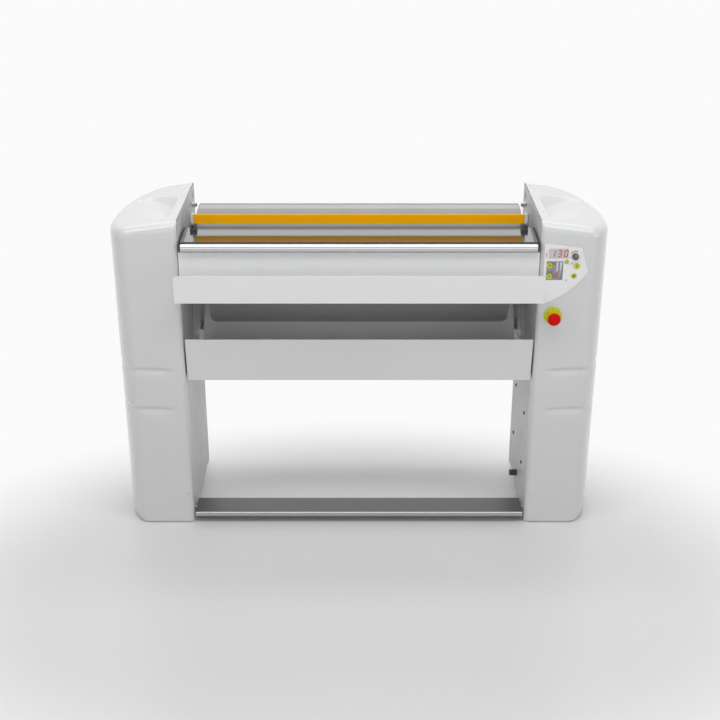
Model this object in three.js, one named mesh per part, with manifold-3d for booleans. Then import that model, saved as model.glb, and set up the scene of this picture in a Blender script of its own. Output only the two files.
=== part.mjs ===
// Flatwork ironer: one padded roller between two moulded side housings, pressed by a foot bar
// against a heated concave chest. Millimetres, +Z up.
//
// Machine coordinates: x to the right from the middle of the roller, y to the back from the
// plane of the housings' fronts, z up from the floor. The finished group is shifted along y so
// that its origin is the middle of the footprint.
import * as THREE from 'three';
import { mergeVertices } from 'three/addons/utils/BufferGeometryUtils.js';
import Module from 'manifold-3d';

const wasm = await Module();
wasm.setup();

// ---------------------------------------------------------------- driving dimensions

const gap = 0.3; // left between faces that touch
const runningClearance = 0.35; // radial, round shafts and pins
const roundSides = 16; // facets of pins, studs, feet and keys
const wideSides = 40; // facets of the roller

// roller
const workingWidth = 1000;
const rollerRadius = 130;
const rollerY = 220;
const rollerBelowTop = 142; // its axis below the covers' inner upper edge
const paddingThickness = 10;
const tubeWall = 5;
const tubeInset = 2; // the tube ends this far inside the padding
const journalRadius = 17.5;
const endDiscThickness = 8;
const endDiscInset = 10;

// side frames, the flat walls that carry everything
const endRoom = 40; // between the roller's end and each wall
const frameThickness = 3;
const frameFloorGap = 12;
const frameFlange = 25;
const footFlange = 60;

// side covers
const coverDepth = 431;
const coverInnerHeight = 1028;
const coverWidth = 219;
const coverTopSlope = 0.13; // fall of the top per millimetre outwards
const coverWall = 4;
const coverFillet = 28; // round the top's front and side, and the outer bottom corner
const coverTopRearFillet = 6;
const coverBottomFrontFillet = 8;
const coverBottomRearFillet = 20;
const coverFloorGap = 6;
const coverFrontFlat = 150; // flat front, measured from the wall
const coverRearFlat = 60;
const coverWidestY = 150;
const coverCornerRadius = 16; // upright front edge beside the wall

// scoop in the top of each cover
const scoopInset = 35; // from the wall to the scoop's steep inner side
const scoopLength = 133;
const scoopDepth = 24;
const scoopRearY = 288;
const scoopValleyY = 165;
const scoopFrontY = 60;
const scoopTipY = 212;
const scoopTipShare = 0.03; // of its width and depth, left at the tip
const scoopFrontLap = 1; // the leaf's front edge runs out this far past its line
const scoopHeadroom = 30; // the tool stands above the top
const scoopSteps = 5;

// feed table and the panel under it
const sideGap = 5; // between the wall and what lies between the walls
const sheet = 2;
const tableFrontY = -7;
const tableBelowTop = 63; // its front edge below the covers' inner upper edge
const tableSlope = 0.076; // rise per millimetre towards the roller
const tableRollerGap = 2.2;
const tableNoseHeight = 29;
const tableNoseRadius = 7;
const tableReturn = 12;
const panelY = 6;
const panelFlange = 18;
const panelTopGap = 4;

// trays
const upperTrayOverlap = 10; // beyond each wall, in front of the covers
const upperTrayStandOff = 53; // from the covers' fronts to the tray's lower front edge
const upperTrayBelowRoller = 92; // its floor below the roller's axis
const upperTrayHeight = 90;
const upperTrayLean = 10;
const upperTrayCorner = 12;
const trayTongueFlange = 30;
const upperTrayCheek = 45;
const lowerTrayBelowRoller = 376; // its floor below the roller's axis
const lowerTrayHeight = 142;
const lowerTrayFrontY = 15;
const lowerTrayLean = 12;
const lowerTrayDepth = 283;
const lowerTrayCheek = 70;
const lowerTrayCorner = 3;
const hangerLength = 40;

// linen path behind and under the chest
const chuteInset = 20; // from each wall
const chuteRise = 14; // its foot above the lower tray's floor
const chuteSlope = 44; // degrees
const chuteFlange = 55;
const cheekFootY = 209;
const cheekHeadY = 281;
const deflectorInset = 20; // from the roller's ends
const deflectorHeadY = 178;
const deflectorBelowChest = 18;
const deflectorDrop = 87;
const deflectorRun = 62;
const deflectorCorner = 20;
const deflectorRail = 10;
const rearCoverInset = 8; // from the covers' rear
const rearCoverBelowBeam = 12;
const rearCoverBelowRoller = 16;
const rearCoverLip = 14;

// beams between the side frames
const beamSide = 40;
const beamWall = 3;
const frontBeamY = 25;
const frontBeamDrop = 80; // its underside below the table's front edge
const tablePostWidth = 20;
const tablePostX = 300;
const rearBeamInset = 48; // its front before the rear cover
const rearBeamBelowTray = 18;

// bearings
const bearingFlangeRadius = 45;
const bearingFlange = 10;
const bearingHousingRadius = 32;
const bearingLength = 32;
const journalReach = 4; // shaft beyond the bearing or the sprocket
const journalHoleRoom = 4;

// drive
const chainPitch = 15.875;
const rollerTeeth = 24;
const motorTeeth = 12;
const sprocketThickness = 8;
const sprocketInset = 44; // from the wall to the sprockets
const sprocketToothDepth = 6;
const chainClearance = 0.6;
const chainHeight = 9;
const chainOverhang = 2;
const motorShaftRadius = 10;
const motorShaftDepth = 25; // into the gearbox
const gearboxSide = 100;
const gearboxLength = 90;
const gearboxStandOff = 12;
const motorRadius = 42;
const motorLength = 170;
const motorAboveBox = 27; // clear of the electrical box
const shelfThickness = 6;
const shelfMargin = 10;
const shelfFlange = 94;

// electrical box
const boxScrewSpanY = 215;
const boxScrewSpanZ = 182;
const boxScrewY = 127;
const boxScrewZ = 157;
const boxScrewRadius = 4.5;
const boxMargin = 14;
const boxDepth = 90;
const boxSheet = 2;

// heated chest, sized as it lies when it is pressed against the roller
const chestNip = 2; // between the padding and the pressed chest
const chestThickness = 12;
const chestHalfAngle = 80;
const chestSegments = 16;
const chestOverhang = 2; // beyond the padding
const chestEndPlate = 6;
const heaterRadius = 4.2;
const heaterSpacing = 42; // degrees round the chest
const laggingGap = 1.5;
const laggingThickness = 9;
const laggingHalfAngle = 62;
const chestCoverThickness = 2;
const chestOpenAngle = 2.5; // degrees that the foot bar closes

// chest linkage inside the covers
const chestPivotReach = 180; // in front of the roller's axis
const studRadius = 8;
const studReach = 4; // beyond the arm
const linkInset = 12; // from the wall to the arms
const armThickness = 8;
const armWidth = 30;
const armBendReach = 95; // in front of the roller's axis
const armBendDrop = 121;
const chestStubRadius = 9;
const chestStubOffset = 10; // outside the chest plate
const slotRoom = 4;
const pinRadius = 6;
const pinReach = 2;
const rodTopDrop = 116; // below the roller's axis
const rodRadius = 5;
const rodEyeWidth = 6;
const rodThickness = 12;
const rodGap = 1;
const openPivotClearance = 0.6;

// foot bar
const footBarTopZ = 38;
const footBarFrontY = 2;
const footBarDepth = 95;
const footBarHeight = 14;
const footBarStubY = 50;
const footBarStubRadius = 6;
const pedalPivotY = 180;
const pedalPivotZ = 60;
const pedalRear = 192; // from its pivot to the push rods
const pedalArmWidth = 24;
const pedalSlotRoom = 3;
const pedalSlotLength = 50;

// finger guard
const guardY = 100;
const guardAboveTable = 29.5;
const guardHeight = 28;
const guardThickness = 8;
const guardArmDepth = 20;
const guardArmWidth = 10;
const guardArmThickness = 6;
const guardPivotBack = 12;
const guardPivotDrop = 9.5; // below the bar
const guardPinRadius = 2.5;
const guardPinReach = 3;
const guardBlockWidth = 20;
const guardBlockDepth = 30;
const guardBlockTop = 5; // above the pivot
const guardSlotDepth = 6; // below the pivot

// control plate and its controls, measured from the plate's inner upper corner
const plateInset = 12; // from the wall
const plateBelowTop = 65;
const plateThickness = 1.5;
const plateTopWidth = 107;
const plateTopFall = 13;
const plateWidth = 133;
const plateShoulder = 81;
const plateHeight = 192;
const plateBulgeX = 104;
const plateBulgeDrop = 152;
const plateFootX = 6;
const displayWidth = 58;
const displayHeight = 30;
const displayX = 42;
const displayDrop = 30;
const displayThickness = 1;
const knobX = 92;
const knobDrop = 39;
const knobRadius = 10.3;
const knobHeight = 12;
const knobShaftRadius = 3;
const knobMarkWidth = 1.6;
const keyThickness = 1.6;
const keyTravel = 0.5;
const keyGap = 0.4;
const wideKeyRadius = 8.4;
const setKeyX = 17.7;
const plusKeyDrop = 68;
const minusKeyDrop = 102.5;
const lampKeyX = 67.7;
const lampKeyDrop = 57.2;
const lampKeyRadius = 6.6;
const startKeyX = 98.5;
const startKeyDrop = 70.5;
const startKeyRadius = 9;
const stopKeyX = 91.8;
const stopKeyDrop = 101;

// emergency stop
const estopInset = 49; // from the wall
const estopBelowTop = 295;
const estopRingRadius = 27;
const estopRingThickness = 4;
const estopCollarRadius = 15;
const estopCollarLength = 18;
const estopStemRadius = 10;
const estopStemInside = 22;
const estopPinRadius = 5;
const estopPinLength = 8;
const estopTravel = 4;
const estopHeadRadius = 20;
const estopHeadThickness = 16;

// small things
const glandY = 219;
const glandZ = 66;
const glandRadius = 9;
const glandBore = 4.5;
const glandNutRim = 3; // the nut's corners beyond the stem
const glandCapRim = 1.5;
const glandReach = 25;
const glandCap = 10;
const glandThread = 9; // beyond the wall's inner face
const footX = 30; // from the wall
const footRadius = 20;
const footPad = 8;
const footStemRadius = 5;
const footStemReach = 8; // above the flange
const footInsetY = 80; // from the front and the rear of the frame
const bracketY = 363;
const bracketBelowTop = 56;
const bracketReach = 13;
const bracketSide = 12;
const topSlotY = 381;
const topSlotBelowTop = 28;
const topSlotHeight = 16;
const topSlotWidth = 8;
const sideSlotY = 290;
const sideSlotBelowTop = 79;
const sideSlotHeight = 28;
const sideSlotWidth = 6;

// ---------------------------------------------------------------- worked out from them

const degree = Math.PI / 180;
const halfWidth = workingWidth / 2;
const wallX = halfWidth + endRoom; // inner face of each side frame
const between = wallX - gap; // reach of what is held between the walls
const tableHalfWidth = wallX - sideGap;
const rollerZ = coverInnerHeight - rollerBelowTop;
const tableFrontZ = coverInnerHeight - tableBelowTop;
const frameOuterX = wallX + frameThickness;
const frameFrontY = coverCornerRadius + gap;
const frameRearY = coverDepth - coverWall - gap;
const armX = wallX + linkInset;
const armOuterX = armX + armThickness;
const rodX = armOuterX + rodGap;
const rodOuterX = rodX + rodThickness;
const rodY = pedalPivotY + pedalRear;
const rodTopZ = rollerZ - rodTopDrop;
const sprocketX = wallX + sprocketInset;
const sprocketEndX = sprocketX + sprocketThickness;
const bearingX = frameOuterX + gap;
const bearingEndX = bearingX + bearingLength;
const chestRadius = rollerRadius + chestNip;
const chestOuterRadius = chestRadius + chestThickness;
const heaterCircle = chestOuterRadius + gap + heaterRadius;
const laggingInner = heaterCircle + heaterRadius + laggingGap;
const laggingOuter = laggingInner + laggingThickness;
const chestCoverInner = laggingOuter + gap;
const chestCoverOuter = chestCoverInner + chestCoverThickness;
const chestPivot = new THREE.Vector2(rollerY - chestPivotReach, rollerZ);
const chestStub = new THREE.Vector2(rollerY, rollerZ - chestOuterRadius - chestStubOffset);
const footBarStubZ = footBarTopZ - footBarHeight / 2;
const upperTrayBottomZ = rollerZ - upperTrayBelowRoller;
const lowerTrayBottomZ = rollerZ - lowerTrayBelowRoller;
const rearCoverY = coverDepth - rearCoverInset;
const rearBeamY = rearCoverY - rearBeamInset;
const rearBeamZ = lowerTrayBottomZ - rearBeamBelowTray;
const rearCoverBottomZ = rearBeamZ - rearCoverBelowBeam;
const deflectorHeadZ = rollerZ - chestCoverOuter - deflectorBelowChest;
const boxTopZ = boxScrewZ + boxScrewSpanZ + boxMargin;
const gearboxBottomZ = boxTopZ + motorAboveBox + motorLength;
const motorZ = gearboxBottomZ + gearboxSide / 2;
const chainCentres = rollerZ - motorZ;
const nearestFront = -upperTrayStandOff - upperTrayLean - sheet;
const depthCentre = (nearestFront + coverDepth) / 2;

// ---------------------------------------------------------------- materials

function material(color, roughness, metalness = 0) {
  return new THREE.MeshStandardMaterial({ color, roughness, metalness });
}

const mouldedWhite = material(0xd2d3d4, 0.3);
const paintedGrey = material(0xc4c6c8, 0.5);
const paintedTray = material(0xd0d1d2, 0.5);
const stainless = material(0xb9bbbd, 0.25, 1);
const steel = material(0x8d9094, 0.45, 1);
const blackPlastic = material(0x1b1c1e, 0.6);
const guardOrange = material(0xd69408, 0.4);
const paddingCloth = material(0xbdbdb9, 0.95);
const insulationFibre = material(0xcfc7b0, 0.95);
const plateWhite = material(0xf0f0f1, 0.4);
const displayDark = material(0x6e6a6b, 0.3);
const keyYellow = material(0xd9dc3c, 0.4);
const keyGreen = material(0x9cc83c, 0.4);
const knobGrey = material(0x4b4d50, 0.5);
const signalYellow = material(0xd5dc14, 0.45);
const signalRed = material(0xd60c0c, 0.35);

// ---------------------------------------------------------------- shapes and booleans

// A closed three.js geometry as a solid that can be joined and cut.
function solid(geometry) {
  const bare = new THREE.BufferGeometry();
  bare.setAttribute('position', geometry.getAttribute('position'));
  bare.setIndex(geometry.getIndex());
  const merged = mergeVertices(bare, 1e-4);
  const vertProperties = new Float32Array(merged.getAttribute('position').array);
  const triVerts = new Uint32Array(merged.getIndex().array);
  return new wasm.Manifold(new wasm.Mesh({ numProp: 3, vertProperties, triVerts }));
}

function geometryOf(body) {
  const mesh = body.getMesh();
  const geometry = new THREE.BufferGeometry();
  geometry.setAttribute('position', new THREE.BufferAttribute(mesh.vertProperties, 3));
  geometry.setIndex(new THREE.BufferAttribute(mesh.triVerts, 1));
  return geometry;
}

function union(...bodies) {
  return bodies.reduce((whole, body) => whole.add(body));
}

function cut(body, ...tools) {
  return tools.reduce((whole, tool) => whole.subtract(tool), body);
}

function block(x, y, z) {
  const geometry = new THREE.BoxGeometry(x[1] - x[0], y[1] - y[0], z[1] - z[0]);
  geometry.translate((x[0] + x[1]) / 2, (y[0] + y[1]) / 2, (z[0] + z[1]) / 2);
  return solid(geometry);
}

// A cylinder along x, from one x to another, centred on y and z.
function barX(radius, x, y, z, sides = roundSides) {
  const geometry = new THREE.CylinderGeometry(radius, radius, x[1] - x[0], sides);
  geometry.rotateZ(Math.PI / 2);
  geometry.translate((x[0] + x[1]) / 2, y, z);
  return solid(geometry);
}

function barY(radius, y, x, z, sides = roundSides) {
  const geometry = new THREE.CylinderGeometry(radius, radius, y[1] - y[0], sides);
  geometry.translate(x, (y[0] + y[1]) / 2, z);
  return solid(geometry);
}

function barZ(radius, z, x, y, sides = roundSides) {
  const geometry = new THREE.CylinderGeometry(radius, radius, z[1] - z[0], sides);
  geometry.rotateX(Math.PI / 2);
  geometry.translate(x, y, (z[0] + z[1]) / 2);
  return solid(geometry);
}

// An outline of (y, z) points drawn out along x.
function prismX(points, x) {
  const shape = new THREE.Shape(points);
  const geometry = new THREE.ExtrudeGeometry(shape, { depth: x[1] - x[0], bevelEnabled: false });
  const turn = new THREE.Matrix4().makeBasis(
    new THREE.Vector3(0, 1, 0),
    new THREE.Vector3(0, 0, 1),
    new THREE.Vector3(1, 0, 0),
  );
  geometry.applyMatrix4(turn);
  geometry.translate(x[0], 0, 0);
  return solid(geometry);
}

// An outline of (x, z) points drawn out along y.
function prismY(points, y) {
  const mirrored = points.map((point) => new THREE.Vector2(-point.x, point.y));
  const shape = new THREE.Shape(mirrored);
  const geometry = new THREE.ExtrudeGeometry(shape, { depth: y[1] - y[0], bevelEnabled: false });
  const turn = new THREE.Matrix4().makeBasis(
    new THREE.Vector3(-1, 0, 0),
    new THREE.Vector3(0, 0, 1),
    new THREE.Vector3(0, 1, 0),
  );
  geometry.applyMatrix4(turn);
  geometry.translate(0, y[0], 0);
  return solid(geometry);
}

// Points of an arc, angles in degrees.
function arc(centreY, centreZ, radiusY, radiusZ, from, to, steps) {
  const points = [];
  for (let i = 0; i <= steps; i += 1) {
    const angle = (from + ((to - from) * i) / steps) * degree;
    const y = centreY + radiusY * Math.cos(angle);
    const z = centreZ + radiusZ * Math.sin(angle);
    points.push(new THREE.Vector2(y, z));
  }
  return points;
}

// The outline of a bent sheet: an open line, thickened to its left.
function bentSheet(line, thickness) {
  const inner = line.map((point, i) => {
    const before = line[Math.max(i - 1, 0)];
    const after = line[Math.min(i + 1, line.length - 1)];
    const into = point.clone().sub(before);
    const out = after.clone().sub(point);
    const first = (into.length() > 0 ? into : out).clone().normalize();
    const second = (out.length() > 0 ? out : into).clone().normalize();
    const normal = new THREE.Vector2(-first.y - second.y, first.x + second.x);
    normal.normalize();
    const spread = Math.max(normal.dot(new THREE.Vector2(-first.y, first.x)), 0.3);
    return point.clone().addScaledVector(normal, thickness / spread);
  });
  return [...line, ...inner.reverse()];
}

// A strip of even width round a line of points, with round ends.
function strap(points, width, x) {
  const parts = [];
  for (let i = 0; i + 1 < points.length; i += 1) {
    const along = points[i + 1].clone().sub(points[i]).normalize();
    const side = new THREE.Vector2(-along.y, along.x).multiplyScalar(width / 2);
    const corners = [
      points[i].clone().sub(side),
      points[i + 1].clone().sub(side),
      points[i + 1].clone().add(side),
      points[i].clone().add(side),
    ];
    parts.push(prismX(corners, x));
  }
  for (const point of points) {
    parts.push(barX(width / 2, x, point.x, point.y));
  }
  return union(...parts);
}

function mirrorX(body) {
  const geometry = geometryOf(body);
  geometry.scale(-1, 1, 1);
  const index = geometry.getIndex().array;
  for (let i = 0; i < index.length; i += 3) {
    const corner = index[i];
    index[i] = index[i + 1];
    index[i + 1] = corner;
  }
  return solid(geometry);
}

function turnedAbout(point, pivot, degrees) {
  return point.clone().rotateAround(pivot, degrees * degree);
}

// ---------------------------------------------------------------- the scene graph

const machine = new THREE.Group();
machine.position.set(0, -depthCentre, 0);

function place(name, body, skin, parent = machine) {
  const mesh = new THREE.Mesh(geometryOf(body), skin);
  mesh.name = name;
  parent.add(mesh);
}

// The same piece on both sides, drawn on the right.
function placePair(name, body, skin, parent = machine) {
  place(`right_${name}`, body, skin, parent);
  place(`left_${name}`, mirrorX(body), skin, parent);
}

// ---------------------------------------------------------------- side covers

// The cover's outline in plan, pulled in at its front, side and rear. It starts and ends at
// startX: the wall plane, or a little inside it for what is cut out of the cover.
function coverOutline(inset, startX) {
  const cornerX = wallX + coverCornerRadius;
  const cornerRadius = Math.max(coverCornerRadius - inset.front, 1);
  const startY = Math.max(inset.front + cornerRadius, coverCornerRadius);
  const frontX = wallX + coverFrontFlat;
  const rearX = wallX + coverRearFlat;
  const outerX = wallX + coverWidth - inset.side;
  const rearY = coverDepth - inset.rear;
  const corner = arc(cornerX, startY, cornerRadius, startY - inset.front, 180, 270, 3);
  const frontSide = coverWidestY - inset.front;
  const front = arc(frontX, coverWidestY, outerX - frontX, frontSide, 270, 360, 6);
  const rear = arc(rearX, coverWidestY, outerX - rearX, rearY - coverWidestY, 0, 90, 9);
  rear.shift();
  return [
    new THREE.Vector2(startX, startY),
    ...corner,
    ...front,
    ...rear,
    new THREE.Vector2(startX, rearY),
  ];
}

// How far a rounded edge of a given radius is pulled in at a depth below the edge.
function edgeInset(depth, radius) {
  const left = Math.max(radius - depth, 0);
  return radius - Math.sqrt(radius * radius - left * left);
}

function coverTop(x) {
  return coverInnerHeight - coverTopSlope * (x - wallX);
}

// A solid with the cover's shape, its edges rounded above and below, all of it pulled in.
function coverSolid(pulledIn, startX) {
  const fillet = coverFillet - pulledIn;
  const least = 1;
  const bottomFront = Math.max(coverBottomFrontFillet - pulledIn, least);
  const bottomRear = Math.max(coverBottomRearFillet - pulledIn, least);
  const topRear = Math.max(coverTopRearFillet - pulledIn, least);
  const bottomZ = coverFloorGap + pulledIn;
  const steps = 3;
  const rings = [];
  for (let i = 0; i <= steps; i += 1) {
    const depth = fillet * (1 - Math.cos((i / steps) * (Math.PI / 2)));
    const inset = {
      front: pulledIn + edgeInset(depth, bottomFront),
      side: pulledIn + edgeInset(depth, fillet),
      rear: pulledIn + edgeInset(depth, bottomRear),
    };
    const ring = coverOutline(inset, startX);
    rings.push(ring.map((p) => new THREE.Vector3(p.x, p.y, bottomZ + depth)));
  }
  for (let i = steps; i >= 0; i -= 1) {
    const depth = fillet * (1 - Math.cos((i / steps) * (Math.PI / 2)));
    const inset = {
      front: pulledIn + edgeInset(depth, fillet),
      side: pulledIn + edgeInset(depth, fillet),
      rear: pulledIn + edgeInset(depth, topRear),
    };
    const ring = coverOutline(inset, startX);
    const drop = pulledIn + depth;
    rings.push(ring.map((p) => new THREE.Vector3(p.x, p.y, coverTop(p.x) - drop)));
  }
  return loft(rings);
}

// A closed skin over rings of equal count, with a flat end on the first and the last.
function loft(rings) {
  const count = rings[0].length;
  const positions = rings.flat().flatMap((point) => [point.x, point.y, point.z]);
  const faces = [];
  for (let level = 0; level + 1 < rings.length; level += 1) {
    for (let i = 0; i < count; i += 1) {
      const next = (i + 1) % count;
      const low = level * count;
      const high = low + count;
      faces.push(low + i, low + next, high + next);
      faces.push(low + i, high + next, high + i);
    }
  }
  const last = (rings.length - 1) * count;
  for (let i = 1; i + 1 < count; i += 1) {
    faces.push(0, i + 1, i);
    faces.push(last, last + i, last + i + 1);
  }
  const geometry = new THREE.BufferGeometry();
  geometry.setAttribute('position', new THREE.Float32BufferAttribute(positions, 3));
  geometry.setIndex(faces);
  return solid(geometry);
}

// What the scoop takes out of the top: steep beside the wall, fading out at its tip.
function scoopTool(below) {
  const rings = [];
  for (let i = 0; i <= scoopSteps; i += 1) {
    const t = i / scoopSteps;
    const fade = Math.sqrt(1 - t * t) * (1 - scoopTipShare) + scoopTipShare;
    const x = wallX + scoopInset + scoopLength * t;
    const rear = THREE.MathUtils.lerp(scoopTipY, scoopRearY, fade);
    const valley = THREE.MathUtils.lerp(scoopTipY, scoopValleyY, fade);
    const front = THREE.MathUtils.lerp(scoopTipY, scoopFrontY, fade) - scoopFrontLap;
    const top = coverTop(x) - below;
    rings.push([
      new THREE.Vector3(x, front, top + scoopHeadroom),
      new THREE.Vector3(x, front, top),
      new THREE.Vector3(x, valley, top - scoopDepth * fade),
      new THREE.Vector3(x, rear, top),
      new THREE.Vector3(x, rear, top + scoopHeadroom),
    ]);
  }
  return loft(rings);
}

function coverBody() {
  const pastWallX = wallX - 10;
  const lip = coverFillet + coverWall;
  const underside = coverOutline({ front: lip, side: lip, rear: lip }, pastWallX);
  const hole = underside.map((p) => new THREE.Vector3(p.x, p.y, 0));
  const holeTop = underside.map((p) => new THREE.Vector3(p.x, p.y, coverFloorGap + lip));
  const hollow = cut(coverSolid(coverWall, pastWallX), scoopTool(coverWall));
  return cut(coverSolid(0, wallX), hollow, scoopTool(0), loft([hole, holeTop]));
}

// A place on the control plate, from its inner upper corner.
function plateCorner(x, drop) {
  const cornerX = wallX + plateInset;
  const cornerZ = coverInnerHeight - plateBelowTop;
  return new THREE.Vector2(cornerX + x, cornerZ - drop);
}

const estop = new THREE.Vector2(wallX + estopInset, coverInnerHeight - estopBelowTop);
const knobAxis = plateCorner(knobX, knobDrop);
const throughCover = [-1, coverWall + 1];
const knobHole = barY(knobShaftRadius + runningClearance, throughCover, knobAxis.x, knobAxis.y);
const estopHole = barY(estopStemRadius + runningClearance, throughCover, estop.x, estop.y, 24);
place('left_cover', mirrorX(coverBody()), mouldedWhite);
place('right_cover', cut(coverBody(), knobHole, estopHole), mouldedWhite);

// ---------------------------------------------------------------- side frames and feet

const chestStubAtRest = turnedAbout(chestStub, chestPivot, -chestOpenAngle);
const frameHeights = [frameFloorGap, coverInnerHeight];

function frameBody() {
  const wall = block([wallX, frameOuterX], [frameFrontY, frameRearY], frameHeights);
  const rearFlange = block(
    [wallX, frameOuterX + frameFlange],
    [frameRearY - frameThickness, frameRearY],
    [frameFloorGap, rollerZ],
  );
  const bottomFlange = block(
    [wallX, wallX + footFlange],
    [frameFrontY, frameRearY],
    [frameFloorGap, frameFloorGap + frameThickness],
  );
  // the cover's rounded edges cut the corners off the sheets inside it
  const room = coverSolid(coverWall + gap, wallX - 10);
  const sheets = union(wall, rearFlange, bottomFlange).intersect(room);
  const studX = [wallX + 1, armOuterX + studReach];
  const chestStud = barX(studRadius, studX, chestPivot.x, chestPivot.y);
  const pedalStud = barX(studRadius, studX, pedalPivotY, pedalPivotZ);
  const bracketZ = coverInnerHeight - bracketBelowTop;
  const bracket = block(
    [wallX - bracketReach, wallX + 1],
    [bracketY - bracketSide / 2, bracketY + bracketSide / 2],
    [bracketZ - bracketSide / 2, bracketZ + bracketSide / 2],
  );
  return union(sheets, chestStud, pedalStud, bracket);
}

function wallSlot(y, z, width, height) {
  return block(
    [wallX - 1, frameOuterX + 1],
    [y - width / 2, y + width / 2],
    [z - height / 2, z + height / 2],
  );
}

function frameCuts() {
  const through = [wallX - 1, frameOuterX + 1];
  const journalHole = barX(journalRadius + journalHoleRoom, through, rollerY, rollerZ);
  const stubRoom = chestStubRadius + slotRoom;
  const stubSlot = block(
    through,
    [chestStubAtRest.x - stubRoom, chestStub.x + stubRoom],
    [chestStubAtRest.y - stubRoom, chestStub.y + stubRoom],
  );
  const barRoom = footBarStubRadius + slotRoom;
  const barSlot = block(
    through,
    [footBarStubY - barRoom, footBarStubY + barRoom],
    [frameFloorGap - 1, footBarStubZ + barRoom],
  );
  const pedalSlot = block(
    [armX - pedalSlotRoom, armOuterX + pedalSlotRoom],
    [frameFrontY - 1, frameFrontY + coverFillet + pedalSlotLength],
    [frameFloorGap - 1, frameFloorGap + frameThickness + 1],
  );
  const topSlotZ = coverInnerHeight - topSlotBelowTop;
  const sideSlotZ = coverInnerHeight - sideSlotBelowTop;
  const topSlot = wallSlot(topSlotY, topSlotZ, topSlotWidth, topSlotHeight);
  const sideSlot = wallSlot(sideSlotY, sideSlotZ, sideSlotWidth, sideSlotHeight);
  const footHoles = [frameFrontY + footInsetY, frameRearY - footInsetY].map((y) => barZ(
    footStemRadius + runningClearance,
    [0, 2 * frameFloorGap],
    wallX + footX,
    y,
  ));
  return [journalHole, stubSlot, barSlot, pedalSlot, topSlot, sideSlot, ...footHoles];
}

const boxCorners = [];
for (const y of [boxScrewY, boxScrewY + boxScrewSpanY]) {
  for (const z of [boxScrewZ, boxScrewZ + boxScrewSpanZ]) {
    boxCorners.push(new THREE.Vector2(y, z));
  }
}
const boxHoles = boxCorners.map((corner) => barX(
  boxScrewRadius,
  [wallX - 1, frameOuterX + 1],
  corner.x,
  corner.y,
));
const glandHole = barX(
  glandRadius + runningClearance,
  [wallX - 1, frameOuterX + 1],
  glandY,
  glandZ,
);
const leftFrame = mirrorX(cut(frameBody(), ...frameCuts()));
const rightFrame = cut(frameBody(), ...frameCuts(), ...boxHoles, glandHole);
place('left_side_frame', leftFrame, paintedGrey);
place('right_side_frame', rightFrame, paintedGrey);

function footBody(y) {
  const pad = barZ(footRadius, [0, footPad], wallX + footX, y);
  const stemTop = frameFloorGap + frameThickness + footStemReach;
  const stem = barZ(footStemRadius, [footPad - 1, stemTop], wallX + footX, y);
  return union(pad, stem);
}
placePair('front_foot', footBody(frameFrontY + footInsetY), steel);
placePair('rear_foot', footBody(frameRearY - footInsetY), steel);

// ---------------------------------------------------------------- beams

function beamBody(y, z) {
  const outside = block([-between, between], [y, y + beamSide], [z, z + beamSide]);
  const inside = block(
    [-between - 1, between + 1],
    [y + beamWall, y + beamSide - beamWall],
    [z + beamWall, z + beamSide - beamWall],
  );
  return cut(outside, inside);
}

// Two posts on the front beam carry the feed table.
function tablePost(x) {
  const topFrontZ = tableTop(frontBeamY) - sheet - gap;
  const topRearZ = tableTop(frontBeamY + beamSide) - sheet - gap;
  const footZ = frontBeamZ + beamSide - 1;
  const outline = [
    new THREE.Vector2(frontBeamY, footZ),
    new THREE.Vector2(frontBeamY + beamSide, footZ),
    new THREE.Vector2(frontBeamY + beamSide, topRearZ),
    new THREE.Vector2(frontBeamY, topFrontZ),
  ];
  return prismX(outline, [x - tablePostWidth / 2, x + tablePostWidth / 2]);
}

// The feed table's upper face, behind its rounded front edge.
function tableTop(y) {
  return tableFrontZ + tableSlope * (y - tableFrontY - tableNoseRadius);
}

const frontBeamZ = tableFrontZ - frontBeamDrop;
const frontBeam = union(
  beamBody(frontBeamY, frontBeamZ),
  tablePost(-tablePostX),
  tablePost(tablePostX),
);
place('front_beam', frontBeam, steel);
place('rear_beam', beamBody(rearBeamY, rearBeamZ), steel);

// ---------------------------------------------------------------- feed table and front panel

// The table ends just short of the roller, where the two come nearest.
function tableRear() {
  const wanted = rollerRadius + tableRollerGap;
  const drop = tableTop(rollerY) - rollerZ;
  const across = 1 + tableSlope * tableSlope;
  const middle = (tableSlope * drop) / across;
  const reach = Math.sqrt(middle * middle - (drop * drop - wanted * wanted) / across);
  return rollerY - middle - reach;
}
const tableRearY = tableRear();

function tableBody() {
  const noseY = tableFrontY + tableNoseRadius;
  const noseZ = tableFrontZ - tableNoseRadius;
  const turnZ = tableFrontZ - tableNoseHeight + tableNoseRadius;
  const line = [
    new THREE.Vector2(tableRearY, tableTop(tableRearY)),
    ...arc(noseY, noseZ, tableNoseRadius, tableNoseRadius, 90, 180, 4),
    ...arc(noseY, turnZ, tableNoseRadius, tableNoseRadius, 180, 270, 4),
    new THREE.Vector2(noseY + tableReturn, turnZ - tableNoseRadius),
  ];
  return prismX(bentSheet(line, sheet), [-tableHalfWidth, tableHalfWidth]);
}
place('feed_table', tableBody(), stainless);

function panelBody() {
  const topZ = tableFrontZ - tableNoseHeight - panelTopGap;
  const bottomZ = upperTrayBottomZ - sheet;
  const line = [
    new THREE.Vector2(panelY + panelFlange, topZ),
    new THREE.Vector2(panelY, topZ),
    new THREE.Vector2(panelY, bottomZ),
    new THREE.Vector2(panelY + panelFlange, bottomZ),
  ];
  return prismX(bentSheet(line, sheet), [-between, between]);
}
place('front_panel', panelBody(), paintedTray);

// ---------------------------------------------------------------- trays

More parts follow.
